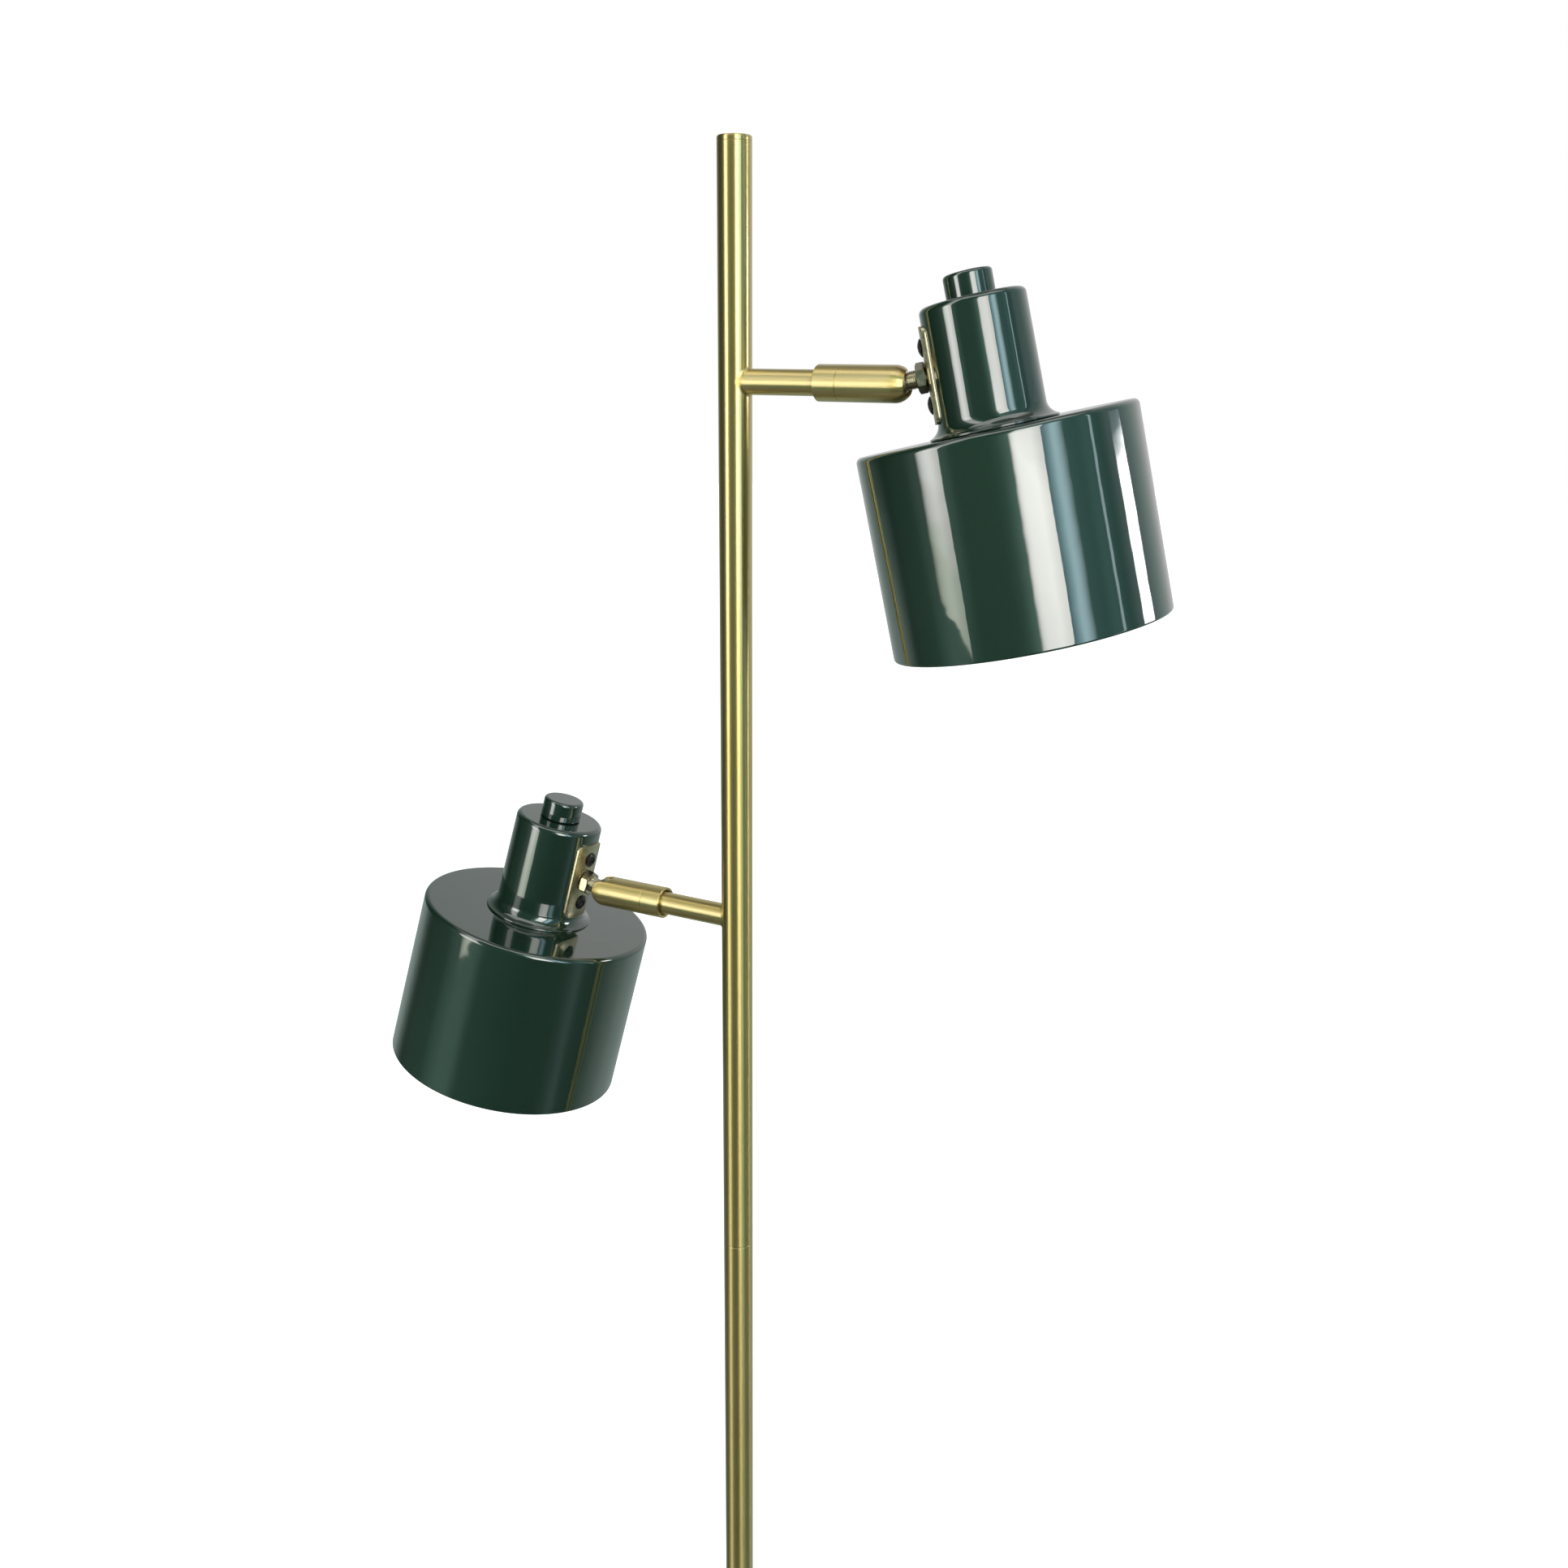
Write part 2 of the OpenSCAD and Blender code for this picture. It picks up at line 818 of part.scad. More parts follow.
module neck(place) {
    rim_r = neck_r + flare_out;
    color("darkslategray")
        at_head(place)
            difference() {
                rotate_extrude()
                    difference() {
                        union() {
                            neck_outline(0);
                            flare_outline(0, rim_r);
                        }
                        neck_outline(neck_wall);
                        flare_outline(neck_wall, rim_r - flare_rest);
                    }
                rod_z(0, neck_h + cut, pipe_r + loose_fit);
                neck_holes(loose_fit, loose_fit);
            }
}

// Half section of the shade's outer face drawn in by an inset, from its foot this far down
module shade_outline(inset, foot) {
    top_r = shade_top_d / 2;
    polygon([
        [0, -foot], [shade_d / 2 - inset, -foot], [top_r - inset, -shade_edge_r],
        [top_r - shade_edge_r, -inset], [0, -inset]
    ]);
    translate([top_r - shade_edge_r, -shade_edge_r])
        circle(shade_edge_r - inset);
}

module shade(place) {
    color("darkslategray")
        at_head(place)
            difference() {
                rotate_extrude() {
                    difference() {
                        shade_outline(0, shade_h - hem_r);
                        shade_outline(shade_wall, shade_h + cut);
                    }
                    translate([shade_d / 2 - hem_r, hem_r - shade_h])
                        circle(hem_r);
                }
                rod_z(-sleeve_l, cut, sleeve_d / 2 + loose_fit);
            }
}

// The leg lies against the neck's wall, and the foot lies on the lamp holder
module bracket(place) {
    leg_face = -neck_wall - close_fit;
    color("silver")
        at_head(place)
            difference() {
                union() {
                    intersection() {
                        neck_skin(leg_face - strap_t, leg_face, holder_body_h, strap_top);
                        translate([-neck_r, -strap_w / 2, 0])
                            cube([neck_r, strap_w, neck_h]);
                    }
                    rod_z(holder_body_h, foot_top, foot_d / 2);
                    translate([-foot_back, -strap_w / 2, holder_body_h])
                        cube([foot_back, strap_w, strap_t]);
                }
                rod_z(0, neck_h, pipe_r + loose_fit);
                neck_holes(loose_fit, close_fit);
            }
}

module holder_screw(place) {
    end = holder_body_h - holder_tap;
    color("silver")
        at_head(place)
            difference() {
                union() {
                    rod_z(end + stem_end, foot_top, pipe_r - close_fit);
                    hex_z(foot_top, foot_top + nut_t / 2);
                }
                rod_z(0, neck_h, wire_bore / 2);
            }
}

module holder(place) {
    color("dimgray")
        at_head(place)
            difference() {
                union() {
                    rod_z(-sleeve_l, holder_body_h, holder_body_d / 2);
                    rod_z(-sleeve_l, 0, sleeve_d / 2);
                    rod_z(0, holder_flange_t, holder_flange_d / 2);
                }
                rod_z(-sleeve_l - cut, shell_top, shell_r + shell_wall + close_fit);
                rod_z(shell_top - cut, contact_z, shell_hole_d / 2);
                rod_z(holder_body_h - holder_tap, neck_h, pipe_r);
                rod_z(-sleeve_l, holder_body_h, contact_w / 4);
            }
}

module screw_shell(place) {
    low = shell_inset - sleeve_l;
    color("gold")
        at_head(place)
            difference() {
                rod_z(low, shell_top, shell_r + shell_wall);
                rod_z(low - cut, shell_top - shell_wall, shell_r);
                rod_z(low, neck_h, shell_hole_d / 2);
            }
}

module contact(place) {
    color("gold")
        at_head(place)
            union() {
                translate([-contact_l / 2, -contact_w / 2, contact_z - contact_t])
                    cube([contact_l, contact_w, contact_t]);
                rod_z(contact_z - contact_h, contact_z, contact_w / 2);
            }
}

module shade_ring(place) {
    color("dimgray")
        at_head(place)
            difference() {
                rod_z(-shade_wall - ring_h, -shade_wall, ring_d / 2);
                rod_z(-sleeve_l, neck_h, sleeve_d / 2 + close_fit);
                for (groove = [1 : ring_grooves])
                    rotate([0, 0, groove * 360 / ring_grooves])
                        translate([ring_d / 2, 0, 0])
                            rod_z(-sleeve_l, 0, groove_d / 2);
            }
}

module switch(place) {
    bottom = neck_ceiling - switch_h;
    color("dimgray")
        at_head(place)
            difference() {
                union() {
                    translate([-switch_w / 2, -switch_depth / 2, bottom])
                        cube([switch_w, switch_depth, switch_h]);
                    rod_z(neck_ceiling, bush_top, pipe_r - close_fit);
                }
                rod_z(rotor_z, bush_top + cut, shaft_r + run_fit);
                rod_z(rotor_z - face_fit, rotor_z + rotor_t + face_fit, rotor_d / 2 + run_fit);
            }
}

module switch_nut(place) {
    color("silver")
        at_head(place)
            difference() {
                hex_z(neck_h, neck_h + switch_nut_t);
                rod_z(0, bush_top, pipe_r);
            }
}

// Takes the shaft's flat off a round bar, with a gap for the bore that goes over it
module shaft_end(from, to, gap) {
    difference() {
        rod_z(from, to, shaft_r + gap);
        translate([shaft_r - shaft_flat + gap, -shaft_r, from - cut])
            cube([shaft_r, shaft_d, to - from + 2 * cut]);
    }
}

module switch_shaft(place) {
    color("silver")
        at_head(place)
            union() {
                rod_z(rotor_z, rotor_z + rotor_t, rotor_d / 2);
                rod_z(rotor_z + rotor_t, bush_top, shaft_r);
                shaft_end(bush_top, shaft_top, 0);
            }
}

module knob(place) {
    color("darkslategray")
        at_head(place)
            difference() {
                rounded_disc(neck_h + knob_gap, neck_h + knob_h, knob_d / 2, knob_edge_r);
                rod_z(neck_h, knob_ceiling, knob_hollow_d / 2);
                shaft_end(neck_h, shaft_top + face_fit, close_fit);
            }
}

base_cover();
base_weight();
base_pad();
base_nipple();
base_washer();
base_nut();
cable_bush();
lower_pole();
pole_foot();
joint_bush();
joint_stud();
upper_pole();
pole_cap();
arm(UPPER);  // upper_arm
flange(UPPER);  // upper_flange
arm(LOWER);  // lower_arm
flange(LOWER);  // lower_flange
collar(UPPER);  // upper_collar
cup(UPPER);  // upper_cup
seat(UPPER);  // upper_seat
ball(UPPER);  // upper_ball
stem(UPPER);  // upper_stem
stem_nuts(UPPER);  // upper_stem_nuts
plate(UPPER);  // upper_plate
plate_screws(UPPER);  // upper_plate_screws
neck(UPPER);  // upper_neck
shade(UPPER);  // upper_shade
bracket(UPPER);  // upper_bracket
holder_screw(UPPER);  // upper_holder_screw
holder(UPPER);  // upper_holder
screw_shell(UPPER);  // upper_screw_shell
contact(UPPER);  // upper_contact
shade_ring(UPPER);  // upper_shade_ring
switch(UPPER);  // upper_switch
switch_nut(UPPER);  // upper_switch_nut
switch_shaft(UPPER);  // upper_switch_shaft
knob(UPPER);  // upper_knob
collar(LOWER);  // lower_collar
cup(LOWER);  // lower_cup
seat(LOWER);  // lower_seat
ball(LOWER);  // lower_ball
stem(LOWER);  // lower_stem
stem_nuts(LOWER);  // lower_stem_nuts
plate(LOWER);  // lower_plate
plate_screws(LOWER);  // lower_plate_screws
neck(LOWER);  // lower_neck
shade(LOWER);  // lower_shade
bracket(LOWER);  // lower_bracket
holder_screw(LOWER);  // lower_holder_screw
holder(LOWER);  // lower_holder
screw_shell(LOWER);  // lower_screw_shell
contact(LOWER);  // lower_contact
shade_ring(LOWER);  // lower_shade_ring
switch(LOWER);  // lower_switch
switch_nut(LOWER);  // lower_switch_nut
switch_shaft(LOWER);  // lower_switch_shaft
knob(LOWER);  // lower_knob
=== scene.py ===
import json
import math

import bpy
import bmesh
from mathutils import Matrix, Vector


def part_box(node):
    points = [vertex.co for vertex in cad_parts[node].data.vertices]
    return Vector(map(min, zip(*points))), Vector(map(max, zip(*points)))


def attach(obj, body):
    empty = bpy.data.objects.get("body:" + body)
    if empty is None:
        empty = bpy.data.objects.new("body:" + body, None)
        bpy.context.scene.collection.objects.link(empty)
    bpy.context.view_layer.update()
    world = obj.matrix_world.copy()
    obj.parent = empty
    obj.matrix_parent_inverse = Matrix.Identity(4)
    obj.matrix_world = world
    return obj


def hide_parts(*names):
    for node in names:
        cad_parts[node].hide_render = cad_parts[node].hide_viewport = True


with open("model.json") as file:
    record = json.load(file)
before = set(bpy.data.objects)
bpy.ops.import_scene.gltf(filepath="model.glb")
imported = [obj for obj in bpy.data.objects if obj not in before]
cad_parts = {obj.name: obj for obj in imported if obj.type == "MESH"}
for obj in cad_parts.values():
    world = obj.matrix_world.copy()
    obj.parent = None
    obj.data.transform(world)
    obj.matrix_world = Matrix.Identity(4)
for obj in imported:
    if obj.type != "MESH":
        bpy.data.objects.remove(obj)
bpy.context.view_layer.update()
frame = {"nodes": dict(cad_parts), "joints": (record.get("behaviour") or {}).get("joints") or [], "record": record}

MM = 0.001
SIDES = ("upper", "lower")
JOINTS = {joint["name"]: joint for joint in frame["joints"]}
SLOTS = {part["node"]: part["material_slot"] for part in frame["record"]["subparts"]}
UP = Vector((0, 0, 1))


# Frames of the object, read from its joints

def axes_to_matrix(origin, x, z):
    matrix = Matrix((x, z.cross(x), z)).transposed().to_4x4()
    matrix.translation = origin
    return matrix


def joint_point(side, joint):
    return Vector(JOINTS[f"{side}_{joint}"]["pos_m"])


def joint_axis(side, joint):
    return Vector(JOINTS[f"{side}_{joint}"]["axis"]).normalized()


def arm_frame(side):
    """On the pole's axis, with X along the arm and Z up."""
    height = joint_point(side, "turn").z
    return axes_to_matrix(UP * height, joint_axis(side, "turn"), UP)


def cup_frame(side):
    """At the ball's centre, with X along the arm and Z through the slot."""
    x = joint_axis(side, "turn")
    z = x.cross(-joint_axis(side, "tilt"))
    return axes_to_matrix(joint_point(side, "turn"), x, z)


def stem_frame(side):
    """At the ball's centre, with X along the stem and Z along the head's axis."""
    centre = joint_point(side, "spin")
    return axes_to_matrix(centre, joint_axis(side, "spin"), joint_axis(side, "switch_turn"))


def head_frame(side):
    """In the middle of the shade's top, with Z along the head's axis and the stem at -X."""
    return stem_frame(side) @ Matrix.Translation(Vector((HEAD_OFFSET, 0, -STEM_Z)) * MM)


# The CAD model's sizes, in millimetres
BALL_X = joint_point("upper", "turn").x / MM
HEAD_OFFSET, STEM_Z = 46.4, 33.1
POLE_R, POLE_BORE_R = 9.5, 8.3
BASE_R, BASE_RIM_H, BASE_CROWN_H, BASE_CROWN_R, BASE_EDGE_R = 127, 18, 22, 17, 6
SKIRT_GAP, COVER_WALL = 1, 1
BUSH_HOLE_R, BUSH_HOLE_REACH = 4, 4
PIPE_R, PIPE_HOLE_R, WIRE_R = 4.95, 5.2, 3
ARM_R, ARM_BORE_R, ARM_L = 7, 6, 70
SWIVEL_R, CUP_X, COLLAR_L = 9.8, 65.6, 13.4
CUP_THREAD_R, CUP_BORE_R, FLANGE_END = 8.6, 8.2, 73
MOUTH_R, SLOT_R = 6.8, 5.7
COLLAR_BORE_R, COLLAR_MOUTH_R, COLLAR_MOUTH_DEPTH = 7.05, 8.3, 5
BALL_R, BALL_FRONT, BALL_BACK = 7.9, 6.1, -5.6
STEM_NECK_R, STEM_NECK_END = 4, 6.2
STEM_FOOT_R, STEM_FOOT_START, STEM_FOOT_END = 4.9, -5.5, -4.4
FOOT_RECESS_R, FOOT_RECESS_DEPTH = 5.05, 1.3
SHADE_R, SHADE_TOP_R, SHADE_H, SHADE_EDGE_R, HEM_R, SHADE_HOLE_R = 75, 74.1, 109.4, 3, 1.1, 20
NECK_R, NECK_TOP_R, NECK_H, NECK_EDGE_R = 28.4, 27.8, 66.6, 3.2
FLARE_R, FLARE_OUT, FLARE_LIFT, FLARE_REST = 8, 5.8, 0.7, 1.2
SHEET = 1
NUT_AF, NUT_T = 14, 5
PLATE_T = 1.5
SCREW_PITCH, SCREW_R, SCREW_HEAD_R, SCREW_HEAD_H, SCREW_DOME_H, SCREW_L = 29.6, 2, 4.8, 2.2, 1.7, 8
KNOB_R, KNOB_Z, KNOB_TOP, KNOB_EDGE_R = 12.8, 67.2, 79.7, 2
KNOB_HOLLOW_R, KNOB_CEILING, SHAFT_R, SHAFT_TOP = 9.2, 71.2, 3.05, 78
SLEEVE_R, SLEEVE_L, HOLDER_FLANGE_R, HOLDER_FLANGE_T, HOLDER_R, HOLDER_TOP = 19.8, 28, 22, 2, 19, 12
SHELL_R, SHELL_WALL, SHELL_LOW, SHELL_TOP, SHELL_HOLE_R, CONTACT_Z = 13.25, 0.45, -27, -7.5, 6.5, -4

# The gap between parts that fit in each other, and how far a cutter reaches past what it cuts
PLAY, BEYOND = 0.05, 1

# Sizes of what only the scene has, in millimetres. A thread is named by its pitch
TUBE_EDGE_R, ARM_BEVEL, WELD_R, ROOT_RIM, ARM_END_GAP = 0.35, 0.3, 1.3, 0.4, 0.1
CUP_EDGE, ROUND_END_LEAD = 0.22, 0.5
CAP_PLUG_R, CAP_SEAM_R, CAP_EDGE_R = 0.5, 0.2, 1.2
BUSH_EDGE, PLATE_EDGE, RING_EDGE = 0.3, 0.35, 0.3
PIPE_THREAD, PIPE_THREAD_DEPTH, STEM_PAST_NUT = 1.0, 0.5, 1.5
NUT_BEVEL_SHARE, NUT_ROUND_EXTRA = 0.6, 0.1
SCREW_THREAD, SCREW_THREAD_DEPTH, SCREW_TIP, SCREW_HOLE_GAP = 0.7, 0.35, 0.6, 0.2
SCREW_EDGE, SCREW_RIM_DROP = 0.3, 0.2
CROSS_REACH, CROSS_HALF_WIDTH, CROSS_DEPTH = 2.4, 0.5, 1.6
LIP_R, LIP_Z, LIP_FOOT, LIP_TOP = 0.4, 0.5, 0.6, 0.3
HOLDER_THREAD, HOLDER_THREAD_DEPTH, HOLDER_THREAD_START, HOLDER_THREAD_END = 2.5, 0.6, 1, 8
HOLDER_EDGE_R, HOLDER_MOUTH_WIDTH = 0.5, 0.8
CAP_THREAD, CAP_THREAD_DEPTH = 3.62, 0.8


def as_object(name, data):
    made = bpy.data.objects.new(name, data)
    bpy.context.scene.collection.objects.link(made)
    return made


# Camera, as in the photograph
CAMERA_OFFSET = Vector((0.4249, -0.7330, 0.01564))
CAMERA_HEADING, CAMERA_PITCH, CAMERA_ROLL = math.radians(118.185), math.radians(16.317), math.radians(0.327)
CAMERA_LENS, CAMERA_SENSOR = 33.85, 36
HEADING = Vector((math.cos(CAMERA_HEADING), math.sin(CAMERA_HEADING), 0))
ASIDE = Vector((HEADING.y, -HEADING.x, 0))


def make_camera():
    forward = HEADING * math.cos(CAMERA_PITCH) - UP * math.sin(CAMERA_PITCH)
    above = ASIDE.cross(forward)
    right = ASIDE * math.cos(CAMERA_ROLL) + above * math.sin(CAMERA_ROLL)
    matrix = Matrix((right, right.cross(forward), -forward)).transposed().to_4x4()
    matrix.translation = arm_frame("upper").translation + CAMERA_OFFSET
    data = bpy.data.cameras.new("camera")
    data.lens, data.sensor_width = CAMERA_LENS, CAMERA_SENSOR
    camera = as_object("camera", data)
    camera.matrix_world = matrix
    bpy.context.scene.camera = camera


# Node materials

# The part of its range from 0 to 1 in which most of a noise lies
NOISE_RANGE = (0.3, 0.7)


def add_node(tree, kind, inputs=None, **settings):
    """Adds a node. Each of its inputs gets a value or the socket that feeds it."""
    made = tree.nodes.new(kind)
    for key, value in settings.items():
        setattr(made, key, value)
    for key, value in (inputs or {}).items():
        if isinstance(value, bpy.types.NodeSocket):
            tree.links.new(value, made.inputs[key])
        else:
            made.inputs[key].default_value = value
    return made


class Shader:
    """A node material with one Principled shader, and short calls for the nodes that feed it."""

    def __init__(self, name, values=None):
        self.material = bpy.data.materials.new(name)
        self.material.use_nodes = True
        self.tree = self.material.node_tree
        self.shader = self.tree.nodes["Principled BSDF"]
        self.place = self.node("ShaderNodeTexCoord").outputs["Object"]
        for key, value in (values or {}).items():
            self.shader.inputs[key].default_value = value

    def node(self, kind, inputs=None, **settings):
        return add_node(self.tree, kind, inputs, **settings)

    def link(self, source, target):
        self.tree.links.new(source, self.shader.inputs[target])

    def noise(self, scale, detail, roughness=0.5, stretch=(1, 1, 1)):
        place = self.node("ShaderNodeMapping", {"Vector": self.place, "Scale": stretch}).outputs["Vector"]
        return self.node("ShaderNodeTexNoise", {
            "Vector": place, "Scale": scale, "Detail": detail, "Roughness": roughness,
        }).outputs["Fac"]

    def color(self, noise, dark, light):
        """Lets the base colour vary between two with a noise."""
        ramp = self.node("ShaderNodeValToRGB", {"Fac": noise})
        for element, position, color in zip(ramp.color_ramp.elements, NOISE_RANGE, (dark, light)):
            element.position = position
            element.color = (*color, 1)
        self.link(ramp.outputs["Color"], "Base Color")

    def roughness(self, noise, low, high):
        """Lets the roughness vary between two values with a noise."""
        start, end = NOISE_RANGE
        spread = self.node("ShaderNodeMapRange", {
            "Value": noise, "From Min": start, "From Max": end, "To Min": low, "To Max": high,
        })
        self.link(spread.outputs["Result"], "Roughness")

    def bump(self, height, distance, below=None):
        inputs = {"Height": height, "Distance": distance, "Strength": 1.0}
        if below:
            inputs["Normal"] = below
        return self.node("ShaderNodeBump", inputs).outputs["Normal"]


def lacquer():
    """Deep green gloss lacquer, with a faint orange peel."""
    made = Shader("green_lacquer", {
        "IOR": 1.72, "Coat Weight": 1.0, "Coat IOR": 1.55, "Coat Roughness": 0.015,
    })
    made.color(made.noise(9, 3), (0.0090, 0.0270, 0.0165), (0.0112, 0.0318, 0.0200))
    made.roughness(made.noise(30, 3), 0.04, 0.07)
    waves = made.bump(made.noise(45, 1), 0.00010)
    peel = made.bump(made.noise(120, 0.6), 0.000035, waves)
    made.link(peel, "Normal")
    made.link(peel, "Coat Normal")
    return made.material


def white_inside():
    made = Shader("white_inside")
    made.color(made.noise(40, 3), (0.78, 0.77, 0.74), (0.83, 0.82, 0.79))
    made.roughness(made.noise(120, 2), 0.34, 0.44)
    made.link(made.bump(made.noise(1500, 2), 0.000012), "Normal")
    return made.material


def brass(name, lines, axis="Z"):
    """Satin antique brass under clear lacquer. Its brush lines are a noise stretched round an axis."""
    made = Shader(name, {
        "Metallic": 0.95, "Coat Weight": 1.0, "Coat Roughness": 0.10,
        "Anisotropic": 1.0, "Anisotropic Rotation": 0.25,
    })
    around = made.node("ShaderNodeTangent", direction_type="RADIAL", axis=axis)
    made.link(around.outputs["Tangent"], "Tangent")
    made.color(made.noise(14, 4, 0.6), (0.72, 0.555, 0.20), (0.78, 0.61, 0.235))
    brush = made.noise(1.0, 2, 0.6, lines)
    made.roughness(brush, 0.34, 0.41)
    made.link(made.bump(brush, 0.0000006), "Normal")
    return made.material


def plain_metal(name, dark, light, roughness, metallic=1.0):
    made = Shader(name, {"Metallic": metallic})
    made.color(made.noise(200, 3, 0.6), dark, light)
    made.roughness(made.noise(400, 2), *roughness)
    made.link(made.bump(made.noise(1200, 2), 0.000001), "Normal")
    return made.material


def cast_iron():
    made = Shader("cast_iron", {"Metallic": 0.7})
    made.color(made.noise(60, 5, 0.7), (0.045, 0.045, 0.047), (0.09, 0.088, 0.085))
    made.roughness(made.noise(90, 3), 0.55, 0.8)
    made.link(made.bump(made.noise(500, 4, 0.7), 0.0002), "Normal")
    return made.material


def moulded(name, dark, light, roughness, grain=900, depth=0.00002):
    made = Shader(name)
    made.color(made.noise(25, 3), dark, light)
    made.roughness(made.noise(80, 3), *roughness)
    made.link(made.bump(made.noise(grain, 3), depth), "Normal")
    return made.material


AROUND_Z, AROUND_X, NO_LINES = (6, 6, 2600), (2600, 6, 6), (40, 40, 40)
GREEN = lacquer()
WHITE = white_inside()
BRASS = brass("antique_brass", AROUND_Z)
BRASS_X = brass("antique_brass_along_x", AROUND_X, "X")
BRASS_FLAT = brass("antique_brass_flat", NO_LINES)
NICKEL = plain_metal("nickel", (0.50, 0.45, 0.33), (0.60, 0.54, 0.41), (0.18, 0.28))
PALE_BRASS = plain_metal("pale_brass", (0.52, 0.46, 0.30), (0.60, 0.53, 0.36), (0.26, 0.34))
ZINC = plain_metal("zinc_steel", (0.50, 0.50, 0.49), (0.62, 0.61, 0.59), (0.28, 0.42))
BLACK = plain_metal("black_steel", (0.018, 0.017, 0.017), (0.030, 0.028, 0.027), (0.24, 0.36), 0.4)
CONTACT = plain_metal("contact_brass", (0.62, 0.45, 0.18), (0.72, 0.54, 0.24), (0.22, 0.34))
IRON = cast_iron()
RUBBER = moulded("black_rubber", (0.016, 0.016, 0.016), (0.026, 0.025, 0.025), (0.6, 0.8), 600, 0.00006)
BAKELITE = moulded("black_plastic", (0.014, 0.013, 0.013), (0.022, 0.021, 0.020), (0.28, 0.4))
NYLON = moulded("nylon", (0.66, 0.64, 0.56), (0.74, 0.72, 0.64), (0.4, 0.55))
FINISHES = {
    "antique_brass": BRASS, "green_lacquer": GREEN, "black_steel": BLACK, "zinc_steel": ZINC,
    "cast_iron": IRON, "black_rubber": RUBBER, "black_plastic": BAKELITE, "nylon": NYLON,
    "contact_brass": CONTACT,
}


def dress_cad_nodes():
    for node, slot in SLOTS.items():
        data = frame["nodes"][node].data
        data.materials.clear()
        data.materials.append(FINISHES[slot])


# Outlines of turned parts, as points (radius, height) in millimetres

def arc(x, y, r, start, end, steps):
    angles = [math.radians(start + (end - start) * step / steps) for step in range(steps + 1)]
    return [(x + r * math.cos(angle), y + r * math.sin(angle)) for angle in angles]


def rounded(corners, steps):
    """A closed outline from corners (x, y, radius), where a radius over 0 rounds the corner."""
    points = []
    for index, (x, y, r) in enumerate(corners):
        here = Vector((x, y))
        if r == 0:
            points.append((x, y))
            continue
        before = (Vector(corners[index - 1][:2]) - here).normalized()
        after = (Vector(corners[(index + 1) % len(corners)][:2]) - here).normalized()
        half = before.angle(after) / 2
        centre = here + (before + after).normalized() * (r / math.sin(half))
        reach = r / math.tan(half)
        start, end = here + before * reach - centre, here + after * reach - centre
        sweep = start.angle_signed(end)
        for step in range(steps + 1):
            point = centre + Matrix.Rotation(-sweep * step / steps, 2) @ start
            points.append((point.x, point.y))
    return points


# How near to its ends a long line gets a point, and how long the line has to be for that
SUPPORT, SUPPORTED_FROM = 0.25, 2


def supported(outline):
    """Adds a point near both ends of each long line, so that it shades as straight between rounds."""
    points = []
    for index, point in enumerate(outline):
        following = outline[(index + 1) % len(outline)]
        points.append(point)
        length = math.dist(point[:2], following[:2])
        if length > SUPPORTED_FROM and len(point) == len(following) == 2:
            for share in (SUPPORT / length, 1 - SUPPORT / length):
                points.append(tuple(a + (b - a) * share for a, b in zip(point, following)))
    return points


# Meshes

WELD_DISTANCE = 0.002 * MM


def welded(mesh, outwards):
    """Joins the mesh's double points, turns its faces outwards if asked to, and shades them smooth."""
    work = bmesh.new()
    work.from_mesh(mesh)
    bmesh.ops.remove_doubles(work, verts=work.verts, dist=WELD_DISTANCE)
    if outwards:
        bmesh.ops.recalc_face_normals(work, faces=work.faces)
    for face in work.faces:
        face.smooth = True
    work.to_mesh(mesh)
    work.free()
    return mesh


def ring_mesh(name, verts, segments, sharp=35):
    """An object from closed rings of points, with the last ring joined to the first."""
    rings = len(verts) // segments
    faces = []
    for ring in range(rings):
        following = (ring + 1) % rings
        for segment in range(segments):
            beside = (segment + 1) % segments
            faces.append((
                ring * segments + segment, ring * segments + beside,
                following * segments + beside, following * segments + segment,
            ))
    mesh = bpy.data.meshes.new(name)
    mesh.from_pydata(verts, [], faces)
    welded(mesh, outwards=True).set_sharp_from_angle(angle=math.radians(sharp))
    return as_object(name, mesh)


def turned(name, outline, segments=96, thread=None, sharp=35):
    """A mesh of revolution about Z. Points with a third value are cut in by that depth along a thread."""
    verts = []
    for point in supported(outline):
        for segment in range(segments):
            angle = math.tau * segment / segments
            r = point[0]
            if thread and len(point) > 2:
                phase = math.tau * point[1] / thread - angle
                r -= point[2] * (0.5 - 0.5 * math.cos(phase))
            verts.append(Vector((r * math.cos(angle), r * math.sin(angle), point[1])) * MM)
    return ring_mesh(name, verts, segments, sharp)


def from_work(name, work):
    mesh = bpy.data.meshes.new(name)
    work.to_mesh(mesh)
    work.free()
    return as_object(name, mesh)


def block(name, low, high):
    """A box between two corners in millimetres."""
    work = bmesh.new()
    bmesh.ops.create_cube(work, size=1)
    for vert in work.verts:
        vert.co = Vector([MM * (high[i] if vert.co[i] > 0 else low[i]) for i in range(3)])
    return from_work(name, work)


def rod(name, r, start, end, segments=48):
    return turned(name, [(0, start), (r, start), (r, end), (0, end)], segments)


def joined(name, pieces, sharp):
    work = bmesh.new()
    for piece in pieces:
        work.from_mesh(piece.data)
    made = from_work(name, work)
    for piece in pieces:
        bpy.data.objects.remove(piece)
    made.data.set_sharp_from_angle(angle=math.radians(sharp))
    return made


ALONG_X = Matrix.Rotation(math.pi / 2, 4, "Y")


def across(piece, matrix=Matrix.Identity(4)):
    """Lays a piece turned about Z along X, then moves it by a matrix, in its mesh."""
    piece.data.transform(matrix @ ALONG_X)
    return piece


